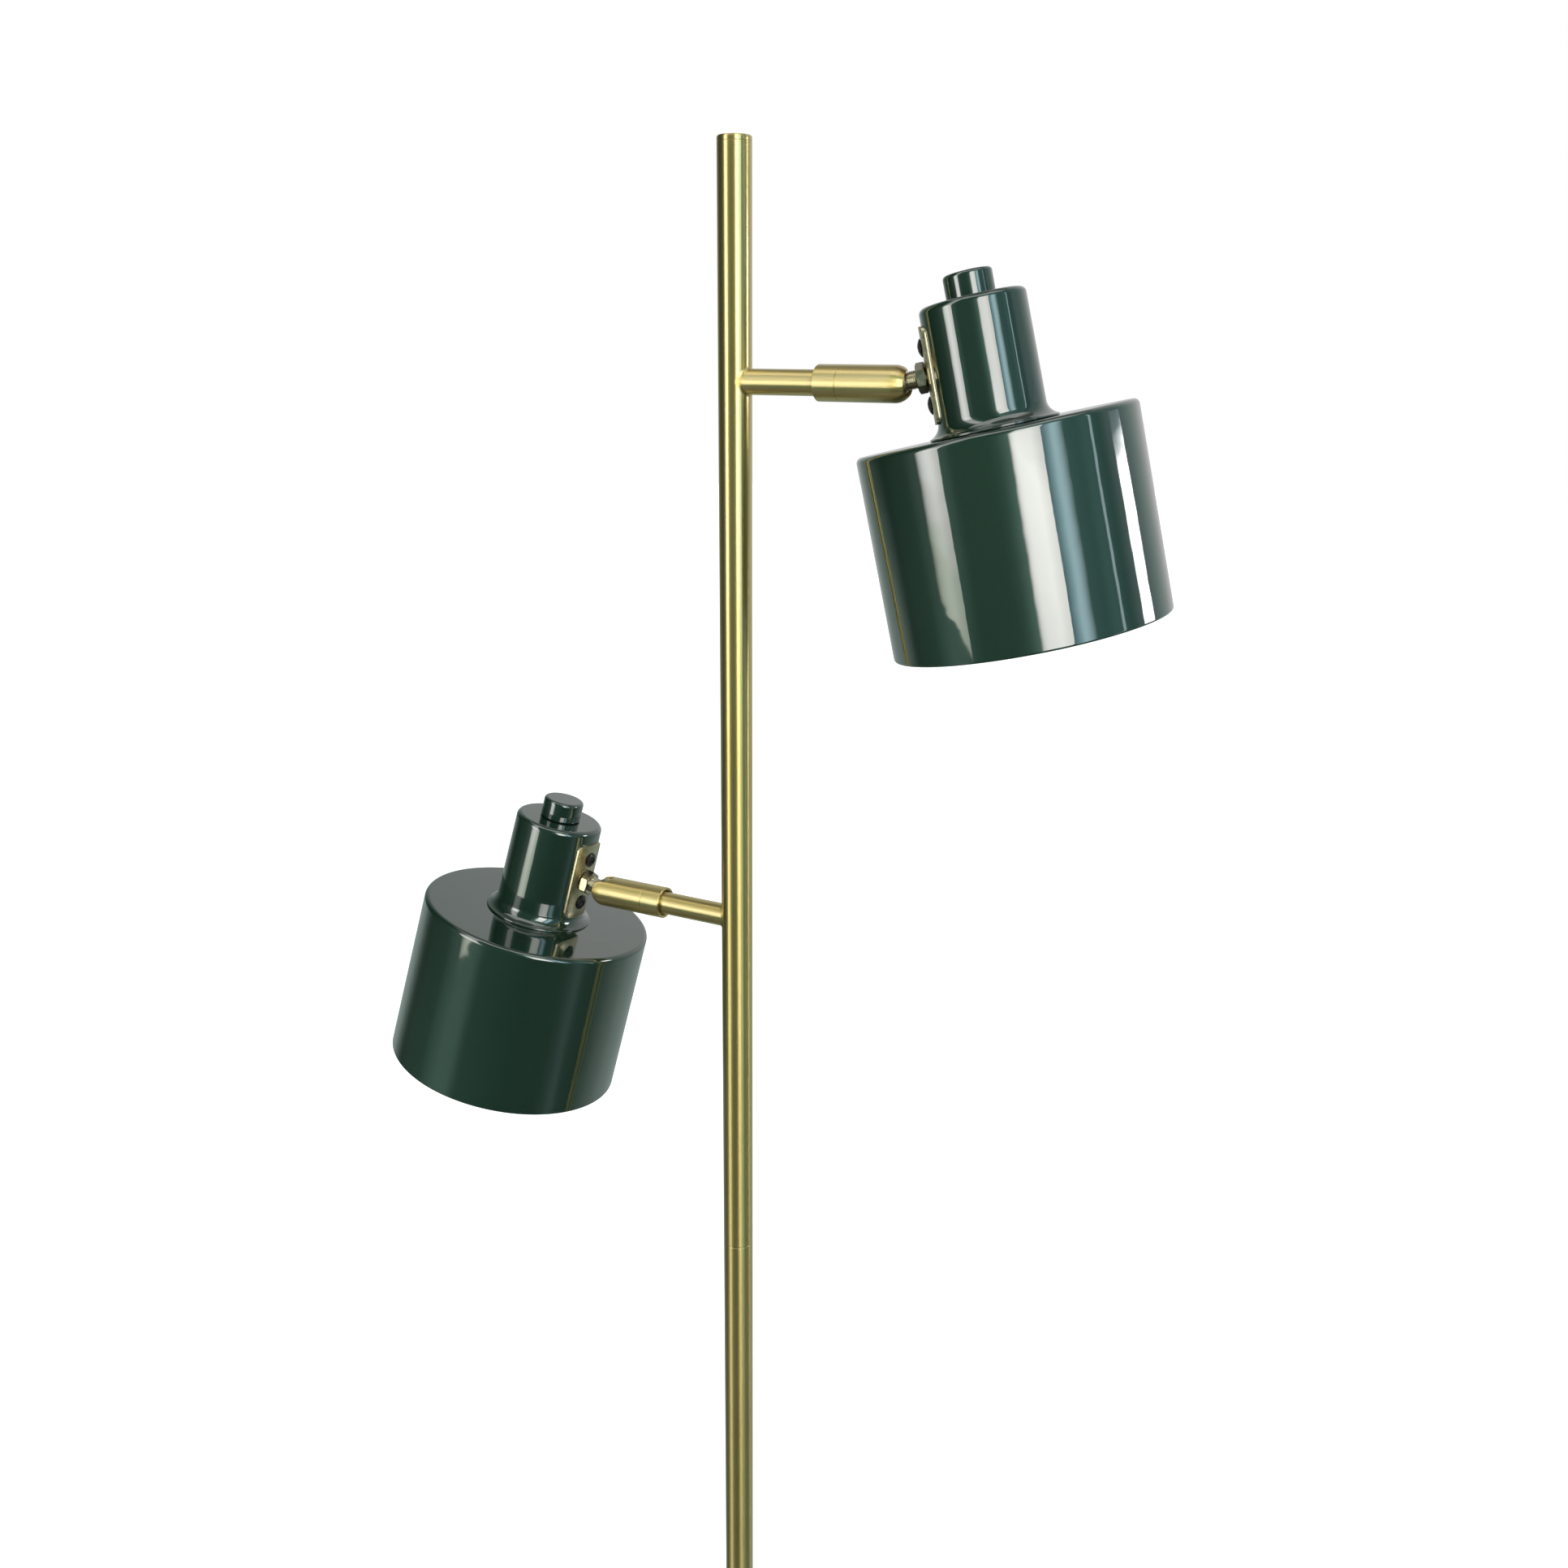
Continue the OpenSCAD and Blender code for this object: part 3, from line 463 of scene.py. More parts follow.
def applied(piece, sharp):
    """Replaces the piece's mesh by what its modifiers make of it."""
    graph = bpy.context.evaluated_depsgraph_get()
    mesh = bpy.data.meshes.new_from_object(piece.evaluated_get(graph))
    piece.modifiers.clear()
    piece.data = mesh
    mesh.set_sharp_from_angle(angle=math.radians(sharp))
    return piece


def cut(piece, *cutters, keep_common=False, sharp=35):
    """Takes the cutters away from a piece, or all that lies outside them, and removes them."""
    for cutter in cutters:
        step = piece.modifiers.new("cut", "BOOLEAN")
        step.operation = "INTERSECT" if keep_common else "DIFFERENCE"
        step.solver = "EXACT"
        step.object = cutter
    applied(piece, sharp)
    for cutter in cutters:
        bpy.data.objects.remove(cutter)
    return piece


def softened(piece, width):
    """Rounds the piece's sharp edges by a width in millimetres."""
    step = piece.modifiers.new("soft edges", "BEVEL")
    step.width, step.segments = width * MM, 2
    step.limit_method, step.angle_limit = "ANGLE", math.radians(32)
    return applied(piece, 40)


def copied(node, width):
    """A copy of a CAD node with its edges rounded, for a piece that replaces it."""
    mesh = welded(frame["nodes"][node].data.copy(), outwards=False)
    mesh.materials.clear()
    if mesh.has_custom_normals:
        mesh.attributes.remove(mesh.attributes["custom_normal"])
    mesh.set_sharp_from_angle(angle=math.radians(30))
    made = as_object("piece_" + node, mesh)
    return softened(made, width) if width else made


def fit(piece, node, body, materials, matrix=None):
    """Places a piece, gives it its finish, and lets it stand for a CAD node on a body."""
    if matrix is not None:
        piece.matrix_world = matrix
    piece.name = "piece_" + node
    piece.data.materials.clear()
    for material in materials if isinstance(materials, list) else [materials]:
        piece.data.materials.append(material)
    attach(piece, body)
    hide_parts(node)


# Base and pole

# The angle at which the edge's round runs out into the sloping crown
CROWN_TURN = 88


def make_base():
    edge_x, edge_z, inside_edge_r = BASE_R - BASE_EDGE_R, BASE_RIM_H - BASE_EDGE_R, BASE_EDGE_R - COVER_WALL
    outline = [(PIPE_HOLE_R, BASE_CROWN_H), (BASE_CROWN_R, BASE_CROWN_H)]
    outline += arc(edge_x, edge_z, BASE_EDGE_R, CROWN_TURN, 0, 12)
    outline += arc(BASE_R - COVER_WALL / 2, SKIRT_GAP + COVER_WALL / 2, COVER_WALL / 2, 0, -180, 6)
    outline += arc(edge_x, edge_z, inside_edge_r, 0, CROWN_TURN, 12)
    outline += [(BASE_CROWN_R, BASE_CROWN_H - COVER_WALL), (PIPE_HOLE_R, BASE_CROWN_H - COVER_WALL)]
    cover = turned("base_cover", outline, 256, sharp=30)
    low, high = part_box("cable_bush")
    height = (low.z + high.z) / 2
    hole = rod("hole", BUSH_HOLE_R, BASE_R - BUSH_HOLE_REACH, BASE_R + BUSH_HOLE_REACH)
    hole.data.transform(Matrix.Translation(UP * height) @ Matrix.Rotation(-math.pi / 2, 4, "X"))
    fit(cut(cover, hole), "base_cover", "stand", BRASS_FLAT)
    fit(copied("cable_bush", BUSH_EDGE), "cable_bush", "stand", RUBBER)


def make_pole():
    for node in ("lower_pole", "upper_pole"):
        low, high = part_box(node)
        start, end = low.z / MM, high.z / MM
        outline = rounded([
            (POLE_BORE_R, start, 0), (POLE_R, start, TUBE_EDGE_R), (POLE_R, end, TUBE_EDGE_R),
            (POLE_BORE_R, end, 0),
        ], 4)
        fit(turned(node, outline, 128), node, "stand", BRASS)
    low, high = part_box("pole_cap")
    start, end = low.z / MM, high.z / MM
    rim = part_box("upper_pole")[1].z / MM
    plug_r = POLE_BORE_R - PLAY
    outline = rounded([
        (0, start, 0), (plug_r, start, CAP_PLUG_R), (plug_r, rim, 0), (POLE_R, rim, CAP_SEAM_R),
        (POLE_R, end, CAP_EDGE_R), (0, end, 0),
    ], 5)
    fit(turned("pole_cap", outline, 128), "pole_cap", "stand", BRASS)


# Arms and swivels

def make_arm(side):
    """The arm's tube with the small round weld at its root, which follows the pole's round face."""
    segments, steps = 96, 8
    rings = []
    for step in range(steps + 1):
        angle = math.pi / 2 * step / steps
        rings.append((ARM_R + WELD_R * (1 - math.sin(angle)), WELD_R * (1 - math.cos(angle)), True))
    rings += [
        (ARM_R, ARM_L - ARM_BEVEL, False), (ARM_R - ARM_BEVEL, ARM_L, False), (ARM_BORE_R, ARM_L, False),
        (ARM_BORE_R, 0, True), (ARM_BORE_R + ROOT_RIM, 0, True),
    ]
    verts = []
    for r, x, follows_pole in rings:
        for segment in range(segments):
            angle = math.tau * segment / segments
            y, z = r * math.cos(angle), r * math.sin(angle)
            start = math.sqrt(POLE_R ** 2 - y ** 2) if follows_pole else 0
            verts.append(Vector((start + x, y, z)) * MM)
    fit(ring_mesh("arm", verts, segments), side + "_arm", "stand", BRASS_X, arm_frame(side))


def make_collar(side):
    back, end = CUP_X - COLLAR_L, ARM_L - ARM_END_GAP
    step, thread_r = back + COLLAR_MOUTH_DEPTH, CUP_THREAD_R - PLAY
    outline = rounded([
        (COLLAR_BORE_R, step, 0), (COLLAR_MOUTH_R, step, 0), (COLLAR_MOUTH_R, back, 0.25),
        (SWIVEL_R, back, TUBE_EDGE_R), (SWIVEL_R, CUP_X, TUBE_EDGE_R), (thread_r, CUP_X, 0),
        (thread_r, end, 0), (COLLAR_BORE_R, end, 0),
    ], 4)
    outline = [(r, x - BALL_X) for r, x in outline]
    fit(across(turned("collar", outline, 128)), side + "_collar", side + "_swivel", BRASS_X, cup_frame(side))


def make_cup(side):
    start = CUP_X - BALL_X
    mouth = math.degrees(math.asin(MOUTH_R / SWIVEL_R))
    inner_mouth = math.degrees(math.asin(MOUTH_R / CUP_BORE_R))
    outline = rounded([
        (CUP_THREAD_R, FLANGE_END - BALL_X, 0), (CUP_THREAD_R, start, 0), (SWIVEL_R, start, TUBE_EDGE_R),
        (SWIVEL_R, -ROUND_END_LEAD, 0),
    ], 4)
    outline += arc(0, 0, SWIVEL_R, 0, 90 - mouth, 16)
    outline += arc(0, 0, CUP_BORE_R, 90 - inner_mouth, 0, 12)
    outline += [(CUP_BORE_R, FLANGE_END - BALL_X)]
    body = across(turned("cup", outline, 160))
    slot = rod("slot", SLOT_R, 0, 2 * SWIVEL_R, 64)
    way = block("way", (0, -SLOT_R, 0), (2 * SWIVEL_R, SLOT_R, 2 * SWIVEL_R))
    body = softened(cut(body, slot, way), CUP_EDGE)
    fit(body, side + "_cup", side + "_swivel", BRASS_X, cup_frame(side))
    fit(copied(side + "_seat", 0), side + "_seat", side + "_swivel", NYLON)


def make_ball(side):
    """The hollow ball, with a recess at the back for the stem's foot."""
    start = math.degrees(math.asin(BALL_FRONT / BALL_R))
    end = math.degrees(math.asin(BALL_BACK / BALL_R))
    bore_r, floor = STEM_NECK_R + PLAY, BALL_BACK + FOOT_RECESS_DEPTH
    outline = [(bore_r, BALL_FRONT)] + arc(0, 0, BALL_R, start, end, 28)
    outline += [(FOOT_RECESS_R, BALL_BACK), (FOOT_RECESS_R, floor), (bore_r, floor)]
    fit(across(turned("ball", outline, 96)), side + "_ball", side + "_joint_ball", NICKEL, stem_frame(side))


# Heads

def neck_radius(z):
    return NECK_R + (NECK_TOP_R - NECK_R) * z / (NECK_H - NECK_EDGE_R)


OUTER_NUT_FACE = neck_radius(STEM_Z - NUT_AF / 2) + PLAY + PLATE_T
INNER_NUT_R = neck_radius(STEM_Z + NUT_AF / 2) - SHEET - PLAY - PLATE_T
INNER_NUT_FACE = math.sqrt(INNER_NUT_R ** 2 - (NUT_AF / 2) ** 2)


def make_stem(side):
    """The hollow threaded pipe, with its plain neck through the ball."""
    start, end = STEM_NECK_END, HEAD_OFFSET - INNER_NUT_FACE + NUT_T + STEM_PAST_NUT
    root_r, steps = PIPE_R - PIPE_THREAD_DEPTH, 200
    outline = [
        (WIRE_R, STEM_FOOT_START), (STEM_FOOT_R, STEM_FOOT_START), (STEM_FOOT_R, STEM_FOOT_END),
        (STEM_NECK_R, STEM_FOOT_END), (STEM_NECK_R, start), (root_r, start),
    ]
    outline += [(PIPE_R, start + (end - start) * step / steps, PIPE_THREAD_DEPTH)
                for step in range(2, steps - 1)]
    outline += [(root_r, end), (WIRE_R, end)]
    stem = across(turned("stem", outline, 64, PIPE_THREAD, 60))
    fit(stem, side + "_stem", side + "_head", NICKEL, stem_frame(side))


def hex_nut(x):
    """A nut across X with chamfered corners and a plain bore."""
    corner, flat, end = NUT_AF / math.sqrt(3), NUT_AF / 2, x + NUT_T
    bevel, outside = (corner - flat) * NUT_BEVEL_SHARE, corner + NUT_ROUND_EXTRA
    nut = turned("nut", [
        (PIPE_R, x), (flat, x), (outside, x + bevel), (outside, end - bevel), (flat, end), (PIPE_R, end),
    ])
    prism = rod("prism", corner, x - BEYOND, end + BEYOND, 6)
    return across(cut(nut, prism, keep_common=True))


def make_nuts(side):
    nuts = joined("nuts", [hex_nut(-OUTER_NUT_FACE - NUT_T), hex_nut(-INNER_NUT_FACE)], 30)
    nuts.data.transform(Matrix.Translation(UP * STEM_Z * MM))
    fit(nuts, side + "_stem_nuts", side + "_head", NICKEL, head_frame(side))


def make_plate(side):
    fit(copied(side + "_plate", PLATE_EDGE), side + "_plate", side + "_head", PALE_BRASS)


def cross_screw():
    """A pan-head screw about Z with its head at the top, its cross recess and its thread."""
    steps = 100
    rim = SCREW_HEAD_H - SCREW_DOME_H
    dome_r = (SCREW_HEAD_R ** 2 + SCREW_DOME_H ** 2) / (2 * SCREW_DOME_H)
    reach = math.degrees(math.asin(SCREW_HEAD_R / dome_r))
    outline = [(0, -SCREW_L - SCREW_TIP)]
    outline += [(SCREW_R, -SCREW_L * (1 - step / steps), SCREW_THREAD_DEPTH) for step in range(1, steps)]
    outline += [(SCREW_R, 0), (SCREW_HEAD_R - SCREW_EDGE, 0), (SCREW_HEAD_R, SCREW_EDGE),
                (SCREW_HEAD_R, rim - SCREW_RIM_DROP)]
    outline += arc(0, SCREW_HEAD_H - dome_r, dome_r, 90 - reach, 90, 12)
    screw = turned("screw", outline, 64, SCREW_THREAD, 50)
    low, high = SCREW_HEAD_H - CROSS_DEPTH, SCREW_HEAD_H + BEYOND
    bars = [block("bar", (-x, -y, low), (x, y, high))
            for x, y in ((CROSS_REACH, CROSS_HALF_WIDTH), (CROSS_HALF_WIDTH, CROSS_REACH))]
    return cut(screw, *bars, sharp=50)


# How far the lower and the upper screw of each plate are turned, in degrees
SCREW_TURNS = {"upper": (20, 65), "lower": (38, 12)}
SCREW_HEIGHTS = (STEM_Z - SCREW_PITCH / 2, STEM_Z + SCREW_PITCH / 2)


def make_screws(side):
    screws = []
    for z, turn in zip(SCREW_HEIGHTS, SCREW_TURNS[side]):
        face = neck_radius(z - SCREW_HEAD_R) + PLAY + PLATE_T
        screw = cross_screw()
        screw.data.transform(
            Matrix.Translation(Vector((-face, 0, z)) * MM) @ Matrix.Rotation(-math.pi / 2, 4, "Y")
            @ Matrix.Rotation(math.radians(turn), 4, "Z"))
        screws.append(screw)
    fit(joined("screws", screws, 45), side + "_plate_screws", side + "_head", BLACK, head_frame(side))


def hole_across(r, z):
    hole = rod("hole", r, -NECK_R - 5, -NECK_R / 2)
    return across(hole, Matrix.Translation(UP * z * MM))


def make_neck(side):
    """The round neck of sheet metal, with its flared foot and its holes for stem and screws."""
    rim_r, arc_z, arc_x = NECK_R + FLARE_OUT, FLARE_LIFT + FLARE_R, NECK_R + FLARE_R
    edge_x, shoulder = NECK_TOP_R - NECK_EDGE_R, NECK_H - NECK_EDGE_R
    tip = 360 - math.degrees(math.acos((rim_r - LIP_TOP - arc_x) / FLARE_R))
    inner_tip = 360 - math.degrees(math.acos((rim_r - FLARE_REST - arc_x) / (FLARE_R + SHEET)))
    outline = [(rim_r - FLARE_REST, 0), (rim_r - LIP_FOOT, 0)]
    outline += arc(rim_r - LIP_R, LIP_Z, LIP_R, -60, 70, 6)
    outline += arc(arc_x, arc_z, FLARE_R, tip, 180, 28)
    outline += arc(edge_x, shoulder, NECK_EDGE_R, 0, 90, 12)
    outline += [(PIPE_HOLE_R, NECK_H), (PIPE_HOLE_R, NECK_H - SHEET)]
    outline += arc(edge_x, shoulder, NECK_EDGE_R - SHEET, 90, 0, 8)
    outline += arc(arc_x, arc_z, FLARE_R + SHEET, 180, inner_tip, 16)
    neck = turned("neck", outline, 256, sharp=40)
    holes = [hole_across(PIPE_HOLE_R, STEM_Z)]
    holes += [hole_across(SCREW_R + SCREW_HOLE_GAP, z) for z in SCREW_HEIGHTS]
    fit(cut(neck, *holes, sharp=40), side + "_neck", side + "_head", GREEN, head_frame(side))


def make_shade(side):
    """The drum of sheet metal with a rolled hem, green outside and white inside."""
    corner_r = SHADE_TOP_R - SHADE_EDGE_R
    hem_x, hem_z = SHADE_R - HEM_R, HEM_R - SHADE_H
    outside = [(SHADE_HOLE_R, 0)]
    outside += arc(corner_r, -SHADE_EDGE_R, SHADE_EDGE_R, 90, 0, 16)
    outside += arc(hem_x, hem_z, HEM_R, 0, -90, 8)
    inside = arc(hem_x, hem_z, HEM_R, -112, -270, 12)
    inside += arc(corner_r, -SHADE_EDGE_R, SHADE_EDGE_R - SHEET, 0, 90, 10)
    inside += [(SHADE_HOLE_R, -SHEET)]
    shade = turned("shade", outside + inside, 384, sharp=50)
    fit(shade, side + "_shade", side + "_head", [GREEN, WHITE], head_frame(side))
    ceiling_r = SHADE_TOP_R - SHEET / 2 - SHADE_EDGE_R / 2
    for face in shade.data.polygons:
        centre, normal = face.center / MM, face.normal
        ceiling = normal.z < -0.5 and math.hypot(centre.x, centre.y) < ceiling_r
        inwards = normal.x * centre.x + normal.y * centre.y < 0 and abs(normal.z) < 0.98
        lowest = centre.z < hem_z - HEM_R * 0.9
        face.material_index = int(ceiling or (inwards and not lowest))


def make_knob(side):
    outline = rounded([
        (0, KNOB_TOP, 0), (0, SHAFT_TOP, 0), (SHAFT_R, SHAFT_TOP, 0), (SHAFT_R, KNOB_CEILING, 0),
        (KNOB_HOLLOW_R, KNOB_CEILING, 0), (KNOB_HOLLOW_R, KNOB_Z, 0.3), (KNOB_R, KNOB_Z, 0.4),
        (KNOB_R, KNOB_TOP, KNOB_EDGE_R),
    ], 8)
    fit(turned("knob", outline, 192), side + "_knob", side + "_switch_knob", GREEN, head_frame(side))


def make_holder(side):
    """The lamp holder with the coarse outside thread that the shade ring runs on, and its ring."""
    shell_r, start = SHELL_R + SHELL_WALL + PLAY, HOLDER_THREAD_START - SLEEVE_L
    outline = rounded([
        (0, HOLDER_TOP, 0), (0, CONTACT_Z, 0), (SHELL_HOLE_R, CONTACT_Z, 0), (SHELL_HOLE_R, SHELL_TOP, 0),
        (shell_r, SHELL_TOP, 0), (shell_r, -SLEEVE_L, HOLDER_EDGE_R),
        (SLEEVE_R - HOLDER_MOUTH_WIDTH, -SLEEVE_L, HOLDER_EDGE_R),
    ], 4)
    outline += [(SLEEVE_R, start + step * 0.15, HOLDER_THREAD_DEPTH) for step in range(120)]
    outline += rounded([
        (SLEEVE_R, -HOLDER_THREAD_END, 0), (SLEEVE_R, 0, 0), (HOLDER_FLANGE_R, 0, 0.3),
        (HOLDER_FLANGE_R, HOLDER_FLANGE_T, HOLDER_EDGE_R), (HOLDER_R, HOLDER_FLANGE_T, 0),
        (HOLDER_R, HOLDER_TOP, 1),
    ], 4)
    holder = turned("holder", outline, 128, HOLDER_THREAD, 45)
    fit(holder, side + "_holder", side + "_head", BAKELITE, head_frame(side))
    fit(copied(side + "_shade_ring", RING_EDGE), side + "_shade_ring", side + "_head", BAKELITE)


def make_screw_shell(side):
    """The rolled thread of sheet brass that a lamp's cap screws into."""
    steps, fade_steps = 110, 8
    outer_r, ceiling = SHELL_R + SHELL_WALL, SHELL_TOP - SHELL_WALL
    wave = []
    for step in range(steps + 1):
        depth = CAP_THREAD_DEPTH * min(1, step / fade_steps, (steps - step) / fade_steps)
        wave.append((SHELL_LOW + (ceiling - SHELL_LOW) * step / steps, depth))
    outline = [(SHELL_R, z, depth) for z, depth in wave]
    outline += [(SHELL_HOLE_R, ceiling), (SHELL_HOLE_R, SHELL_TOP), (outer_r, SHELL_TOP)]
    outline += [(outer_r, z, depth) for z, depth in reversed(wave)]
    shell = turned("shell", outline, 96, CAP_THREAD, 50)
    fit(shell, side + "_screw_shell", side + "_head", CONTACT, head_frame(side))


# Studio, in metres and degrees. Its strips and screens light the lamp or are mirrored in it

STUDIO_R = 1.5
WALL_R = STUDIO_R + 0.1
CLOTH_Z, LOW_TONES_TOP, HIGH_TONES_START, ROOF_Z = 0.026, 0.55, 0.85, 3.4
ROOF_MIDDLE_R = 0.5
STRIP_STEP, SCREEN_STEP = 2, 3
FLOOR_R = 14
EYE_RAYS = ("Is Camera Ray", "Is Glossy Ray", "Is Transmission Ray")


def direction(azimuth):
    """A level direction from the lamp: 0 is back towards the camera and 90 to the camera's right."""
    angle = math.radians(azimuth)
    return -HEADING * math.cos(angle) + ASIDE * math.sin(angle)


def emptied_tree(owner):
    owner.use_nodes = True
    owner.node_tree.nodes.clear()
    return owner.node_tree


def glowing(name):
    """Emission whose colour and strength are painted on the mesh."""
    material = bpy.data.materials.new(name)
    tree = emptied_tree(material)
    tone = add_node(tree, "ShaderNodeAttribute", attribute_name="tone")
    glow = add_node(tree, "ShaderNodeEmission", {"Color": tone.outputs["Color"]})
    add_node(tree, "ShaderNodeOutputMaterial", {"Surface": glow.outputs["Emission"]})
    return material


def set_piece(name, columns, lights=False):
    """A studio screen that the camera doesn't see. Each column is a list of (point, radiance)."""
    verts = [spot for column in columns for spot, _ in column]
    tones = [tone for column in columns for _, tone in column]
    rows = len(columns[0])
    faces = []
    for step in range(len(columns) - 1):
        for row in range(rows - 1):
            corner = step * rows + row
            faces.append((corner, corner + rows, corner + rows + 1, corner + 1))
    mesh = bpy.data.meshes.new(name)
    mesh.from_pydata(verts, [], faces)
    layer = mesh.color_attributes.new("tone", "FLOAT_COLOR", "POINT")
    for entry, tone in zip(layer.data, tones):
        entry.color = (*tone, 1)
    mesh.materials.append(glowing(name))
    made = as_object(name, mesh)
    made.visible_camera = made.visible_shadow = False
    made.visible_diffuse = lights


def blended(stops, at):
    """The colour at a place between (place, colour) stops."""
    if at <= stops[0][0]:
        return stops[0][1]
    for (low, before), (high, after) in zip(stops, stops[1:]):
        if at <= high:
            share = (at - low) / (high - low)
            return tuple(a + (b - a) * share for a, b in zip(before, after))
    return stops[-1][1]


def spans(start, end, step):
    count = max(1, math.ceil((end - start) / step))
    return [start + (end - start) * index / count for index in range(count + 1)]


def strip(name, heights, across, lights=False):
    """An upright strip light with (height, radiance) stops, shaped across by (azimuth, share) stops."""
    columns = []
    for azimuth in spans(across[0][0], across[-1][0], STRIP_STEP):
        share = blended(across, azimuth)
        columns.append([
            (direction(azimuth) * STUDIO_R + UP * height, tuple(a * b for a, b in zip(tone, share)))
            for height, tone in heights
        ])
    set_piece(name, columns, lights)


def wall(name, low_stops, high_stops):
    """The screen round the lamp, with its tones by azimuth near the floor and higher up."""
    columns = []
    for azimuth in spans(-180, 180, SCREEN_STEP):
        low, high = blended(low_stops, azimuth), blended(high_stops, azimuth)
        spot = direction(azimuth) * WALL_R
        levels = ((CLOTH_Z, low), (LOW_TONES_TOP, low), (HIGH_TONES_START, high), (ROOF_Z, high))
        columns.append([(spot + UP * height, tone) for height, tone in levels])
    set_piece(name, columns)


def level_screen(name, stops, height, start, end):
    """A level screen round the lamp's axis between two radii, with tones by azimuth."""
    columns = []
    for azimuth in spans(-180, 180, SCREEN_STEP):
        tone = blended(stops, azimuth)
        way = direction(azimuth)
        columns.append([(way * start + UP * height, tone), (way * end + UP * height, tone)])
    set_piece(name, columns)


def seen_by_eye(tree):
    """1 for rays from the camera and for those that a reflection or a clear part passes on."""
    path = add_node(tree, "ShaderNodeLightPath")
    total = path.outputs[EYE_RAYS[0]]
    for ray in EYE_RAYS[1:]:
        total = add_node(tree, "ShaderNodeMath", {0: total, 1: path.outputs[ray]},
                         operation="ADD", use_clamp=True).outputs[0]
    return total


def make_world():
    world = bpy.data.worlds.new("studio")
    bpy.context.scene.world = world
    tree = emptied_tree(world)
    fill = add_node(tree, "ShaderNodeBackground", {"Color": (0.95, 0.98, 1.0, 1), "Strength": 0.45})
    white = add_node(tree, "ShaderNodeBackground", {"Color": (1, 1, 1, 1)})
    mix = add_node(tree, "ShaderNodeMixShader", {
        0: seen_by_eye(tree), 1: fill.outputs[0], 2: white.outputs[0],
    })
    add_node(tree, "ShaderNodeOutputWorld", {0: mix.outputs[0]})


def make_floor():
    """The white floor, which takes the lamp's shadow and glows a little less close to its base."""
    work = bmesh.new()
    bmesh.ops.create_circle(work, cap_ends=True, segments=128, radius=FLOOR_R)
    floor = from_work("floor", work)
    material = bpy.data.materials.new("floor")
    tree = emptied_tree(material)
    plain = add_node(tree, "ShaderNodeBsdfDiffuse", {"Color": (0.8, 0.8, 0.8, 1)})
    place = add_node(tree, "ShaderNodeTexCoord").outputs["Object"]
    reach = add_node(tree, "ShaderNodeVectorMath", {0: place}, operation="LENGTH").outputs["Value"]
    fade = add_node(tree, "ShaderNodeMapRange", {
        "Value": reach, "From Min": 0.16, "From Max": 0.42, "To Min": 0.5, "To Max": 1.0,
    })
    strength = add_node(tree, "ShaderNodeMath", {0: seen_by_eye(tree), 1: fade.outputs["Result"]},
                        operation="MULTIPLY")
    glow = add_node(tree, "ShaderNodeEmission", {"Strength": strength.outputs[0]})
    both = add_node(tree, "ShaderNodeAddShader", {0: plain.outputs[0], 1: glow.outputs[0]})
    add_node(tree, "ShaderNodeOutputMaterial", {0: both.outputs[0]})
    floor.data.materials.append(material)


NEUTRAL, WARM, DEEP, PALE = (1, 1, 1), (1, 1, 0.95), (0.95, 1.03, 0.87), (0.85, 1.05, 0.98)
GREENISH, GREEN_GREY, COOL, BLUE = (0.96, 1, 0.98), (0.6, 1, 0.85), (0.72, 0.95, 1), (0.5, 0.95, 1)


def toned(*stops):
    """Stops (place, colour) from (place, level, tint), where a stop without a tint is neutral."""
    return [(place, tuple(level * part for part in (tint[0] if tint else NEUTRAL)))
            for place, level, *tint in stops]


def make_strips():
    """The strip lights, set where the photographed lacquer and brass show them."""
    strip("strip_left", toned(
        (0.655, 0.5, PALE), (0.668, 3, DEEP), (0.76, 3.2, DEEP), (0.84, 4.2, WARM), (0.92, 5.2, WARM),
        (1.35, 5.8, WARM), (1.6, 2.5, WARM), (3.2, 2.5, WARM),
    ), toned(
        (-70.5, 0.1), (-69, 0.4), (-66, 0.8), (-61, 1), (-57, 1), (-52, 0.8), (-48.6, 0.7),
    ), lights=True)
    strip("strip_front", toned(
        (0.86, 3.6, WARM), (1.0, 6, WARM), (1.15, 7, WARM), (1.32, 7.8, WARM), (1.44, 5.8, WARM),
        (2.1, 5.8, WARM),
    ), toned(
        (5.6, 0.15), (7.6, 0.75), (10, 0.95), (21, 1), (26, 0.85), (28.8, 0.8),
    ), lights=True)
    strip("strip_front_blue", toned((0.8, 0.7), (1.0, 0.9), (2.1, 1)), [
        (29.2, (0.5, 0.9, 1.1)), (31.5, (1, 1.6, 1.8)), (34, (1.6, 2.5, 2.8)), (37.3, (2.6, 3.7, 4)),
        (40.5, (2.1, 3, 3.3)), (43.2, (1.3, 1.8, 2)), (45.5, (0.3, 0.5, 0.5)),
    ], lights=True)
    strip("thin_right", toned((0.5, 2.3, COOL), (2.1, 2.3, COOL)), toned((66.6, 1), (68.9, 1)))
    strip("strip_right", toned(
        (0.9, 0.3, PALE), (1.12, 0.8, PALE), (1.16, 9), (1.42, 9), (1.47, 0.9, COOL), (1.56, 0.3, COOL),
    ), toned((87.2, 1), (99.4, 1)))


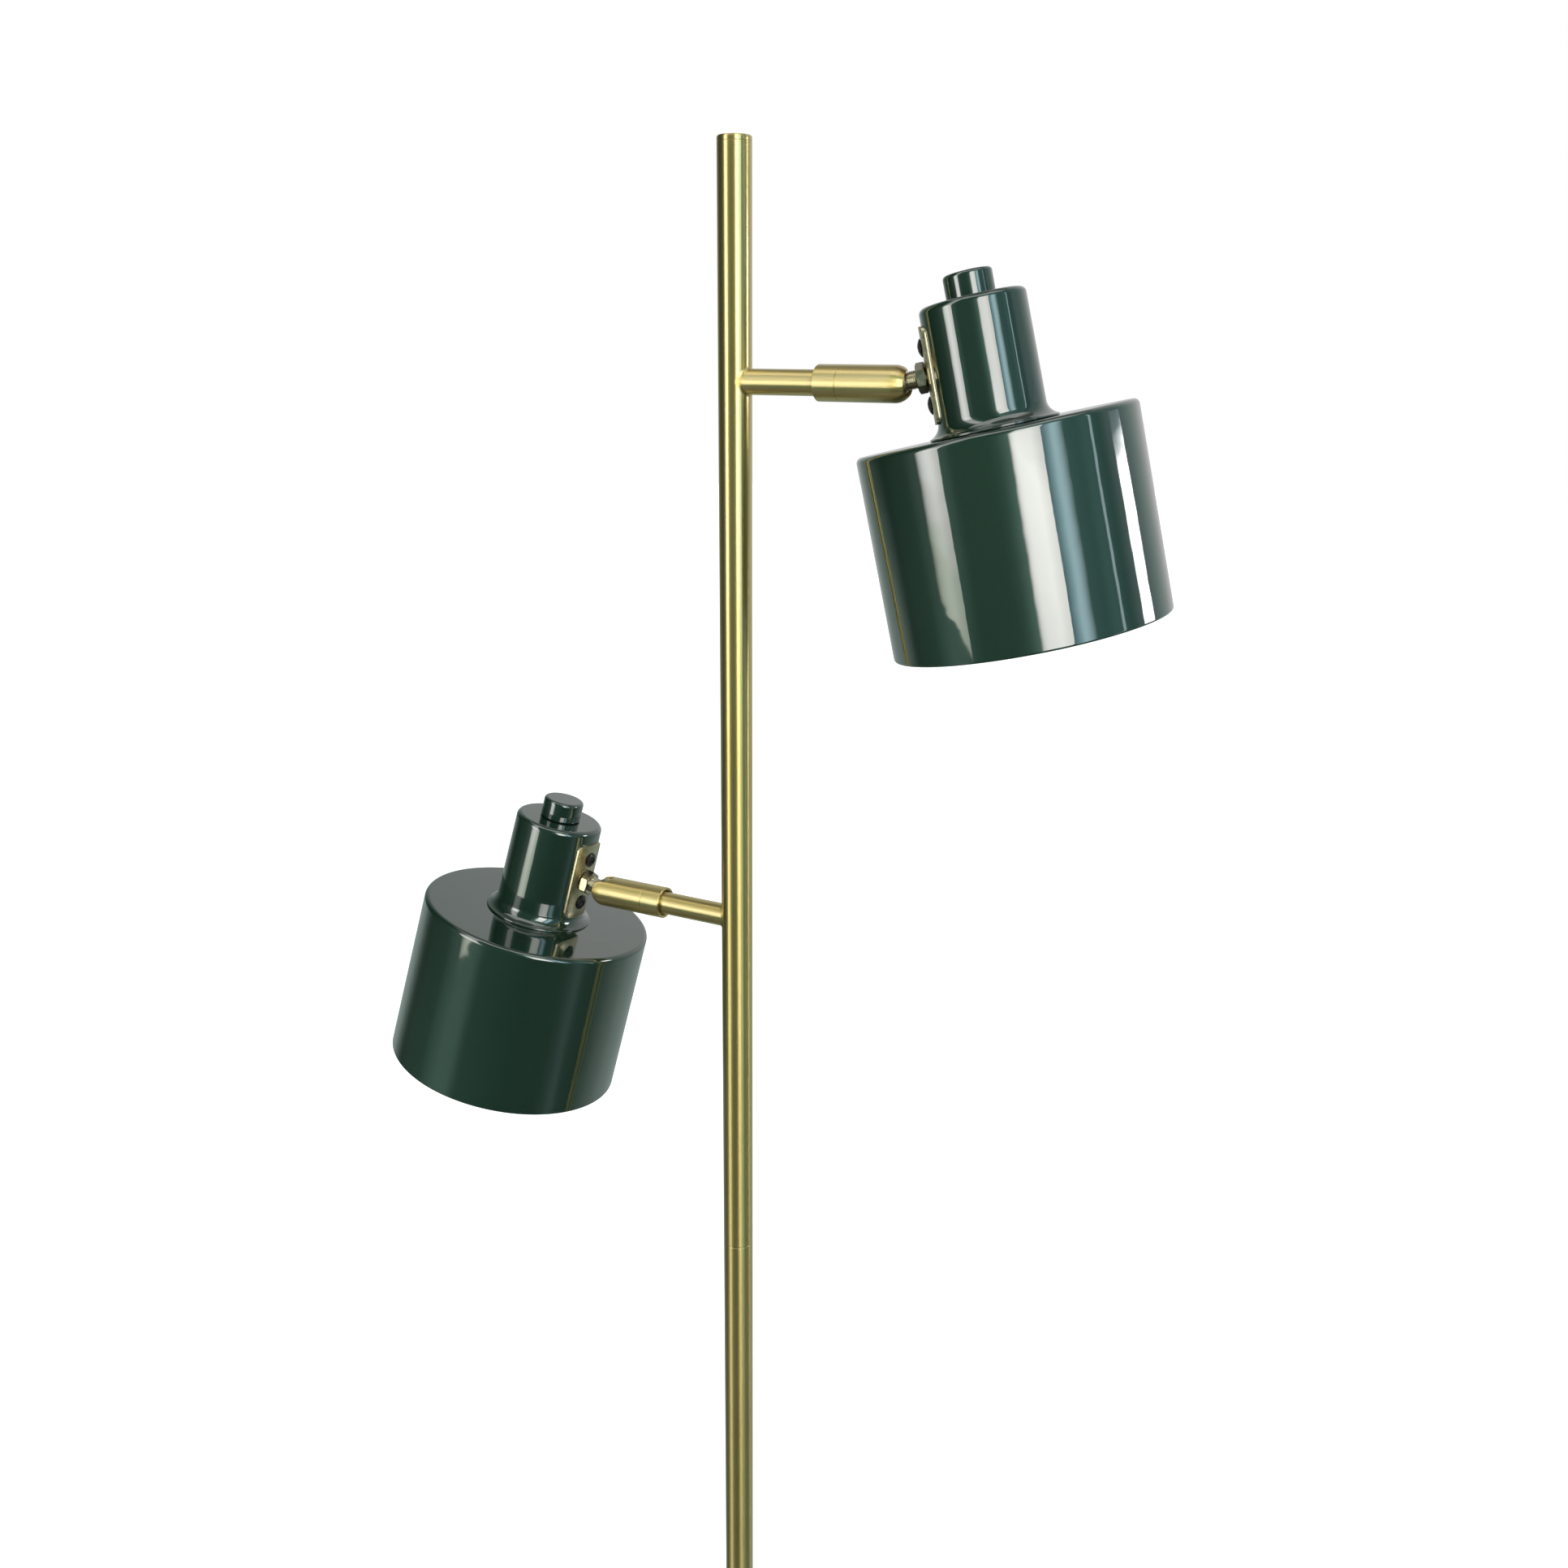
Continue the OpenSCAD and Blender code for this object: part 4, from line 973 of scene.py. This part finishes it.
def make_screens():
    """The screens round, under and over the lamp, with the tones that its metal and lacquer mirror."""
    low_front = toned(
        (-46, 0.13, GREEN_GREY), (-20, 0.07, GREEN_GREY), (0, 0.03, PALE), (30, 0.05, COOL), (40, 0.1, COOL),
        (50, 0.25, COOL), (60, 0.08, COOL), (78, 0.04, COOL), (90, 0.15, PALE), (110, 0.3, PALE),
        (136, 0.4, PALE), (180, 0.3, PALE),
    )
    low = toned(
        (-180, 0.3, PALE), (-130, 0.35, PALE), (-113, 0.05, PALE), (-84, 0.12, GREEN_GREY),
        (-66, 0.45, GREEN_GREY), (-55, 0.45, GREEN_GREY),
    ) + low_front
    high = toned(
        (-180, 0.54, GREENISH), (-150, 0.3, PALE), (-130, 0.08, PALE), (-115, 0), (-85, 0.06, PALE),
        (-75, 0.22, PALE), (-45, 0.35, GREEN_GREY), (-38, 0.12, GREEN_GREY), (-10, 0.12, GREEN_GREY),
        (-2, 0.25, GREEN_GREY), (3.6, 0.65, GREEN_GREY), (5.6, 0.8, GREEN_GREY), (46, 0.4, BLUE),
        (55, 0.3, BLUE), (62, 0.45, BLUE), (76, 0.2, BLUE), (84, 0.4, COOL), (99, 0.4, COOL),
        (116, 0.5, PALE), (135, 0.6), (180, 0.54, GREENISH),
    )
    cloth = toned(
        (-180, 0.3, PALE), (-140, 0.35, PALE), (-110, 0.06, PALE), (-75, 0.2), (-58, 0.4),
    ) + low_front
    roof = toned((-180, 0.2), (-120, 0.2), (-85, 1.6), (75, 1.6), (110, 0.2), (180, 0.2))
    wall("wall", low, high)
    level_screen("cloth", cloth, CLOTH_Z, 0.02, WALL_R)
    level_screen("roof_middle", toned((0, 0.2)), ROOF_Z, 0.01, ROOF_MIDDLE_R)
    level_screen("roof", roof, ROOF_Z, ROOF_MIDDLE_R, WALL_R)


make_camera()
dress_cad_nodes()
make_base()
make_pole()
for side in SIDES:
    make_arm(side)
    make_collar(side)
    make_cup(side)
    make_ball(side)
    make_stem(side)
    make_nuts(side)
    make_plate(side)
    make_screws(side)
    make_neck(side)
    make_shade(side)
    make_knob(side)
    make_holder(side)
    make_screw_shell(side)
make_world()
make_floor()
make_strips()
make_screens()
bpy.context.scene.view_settings.view_transform = "Standard"
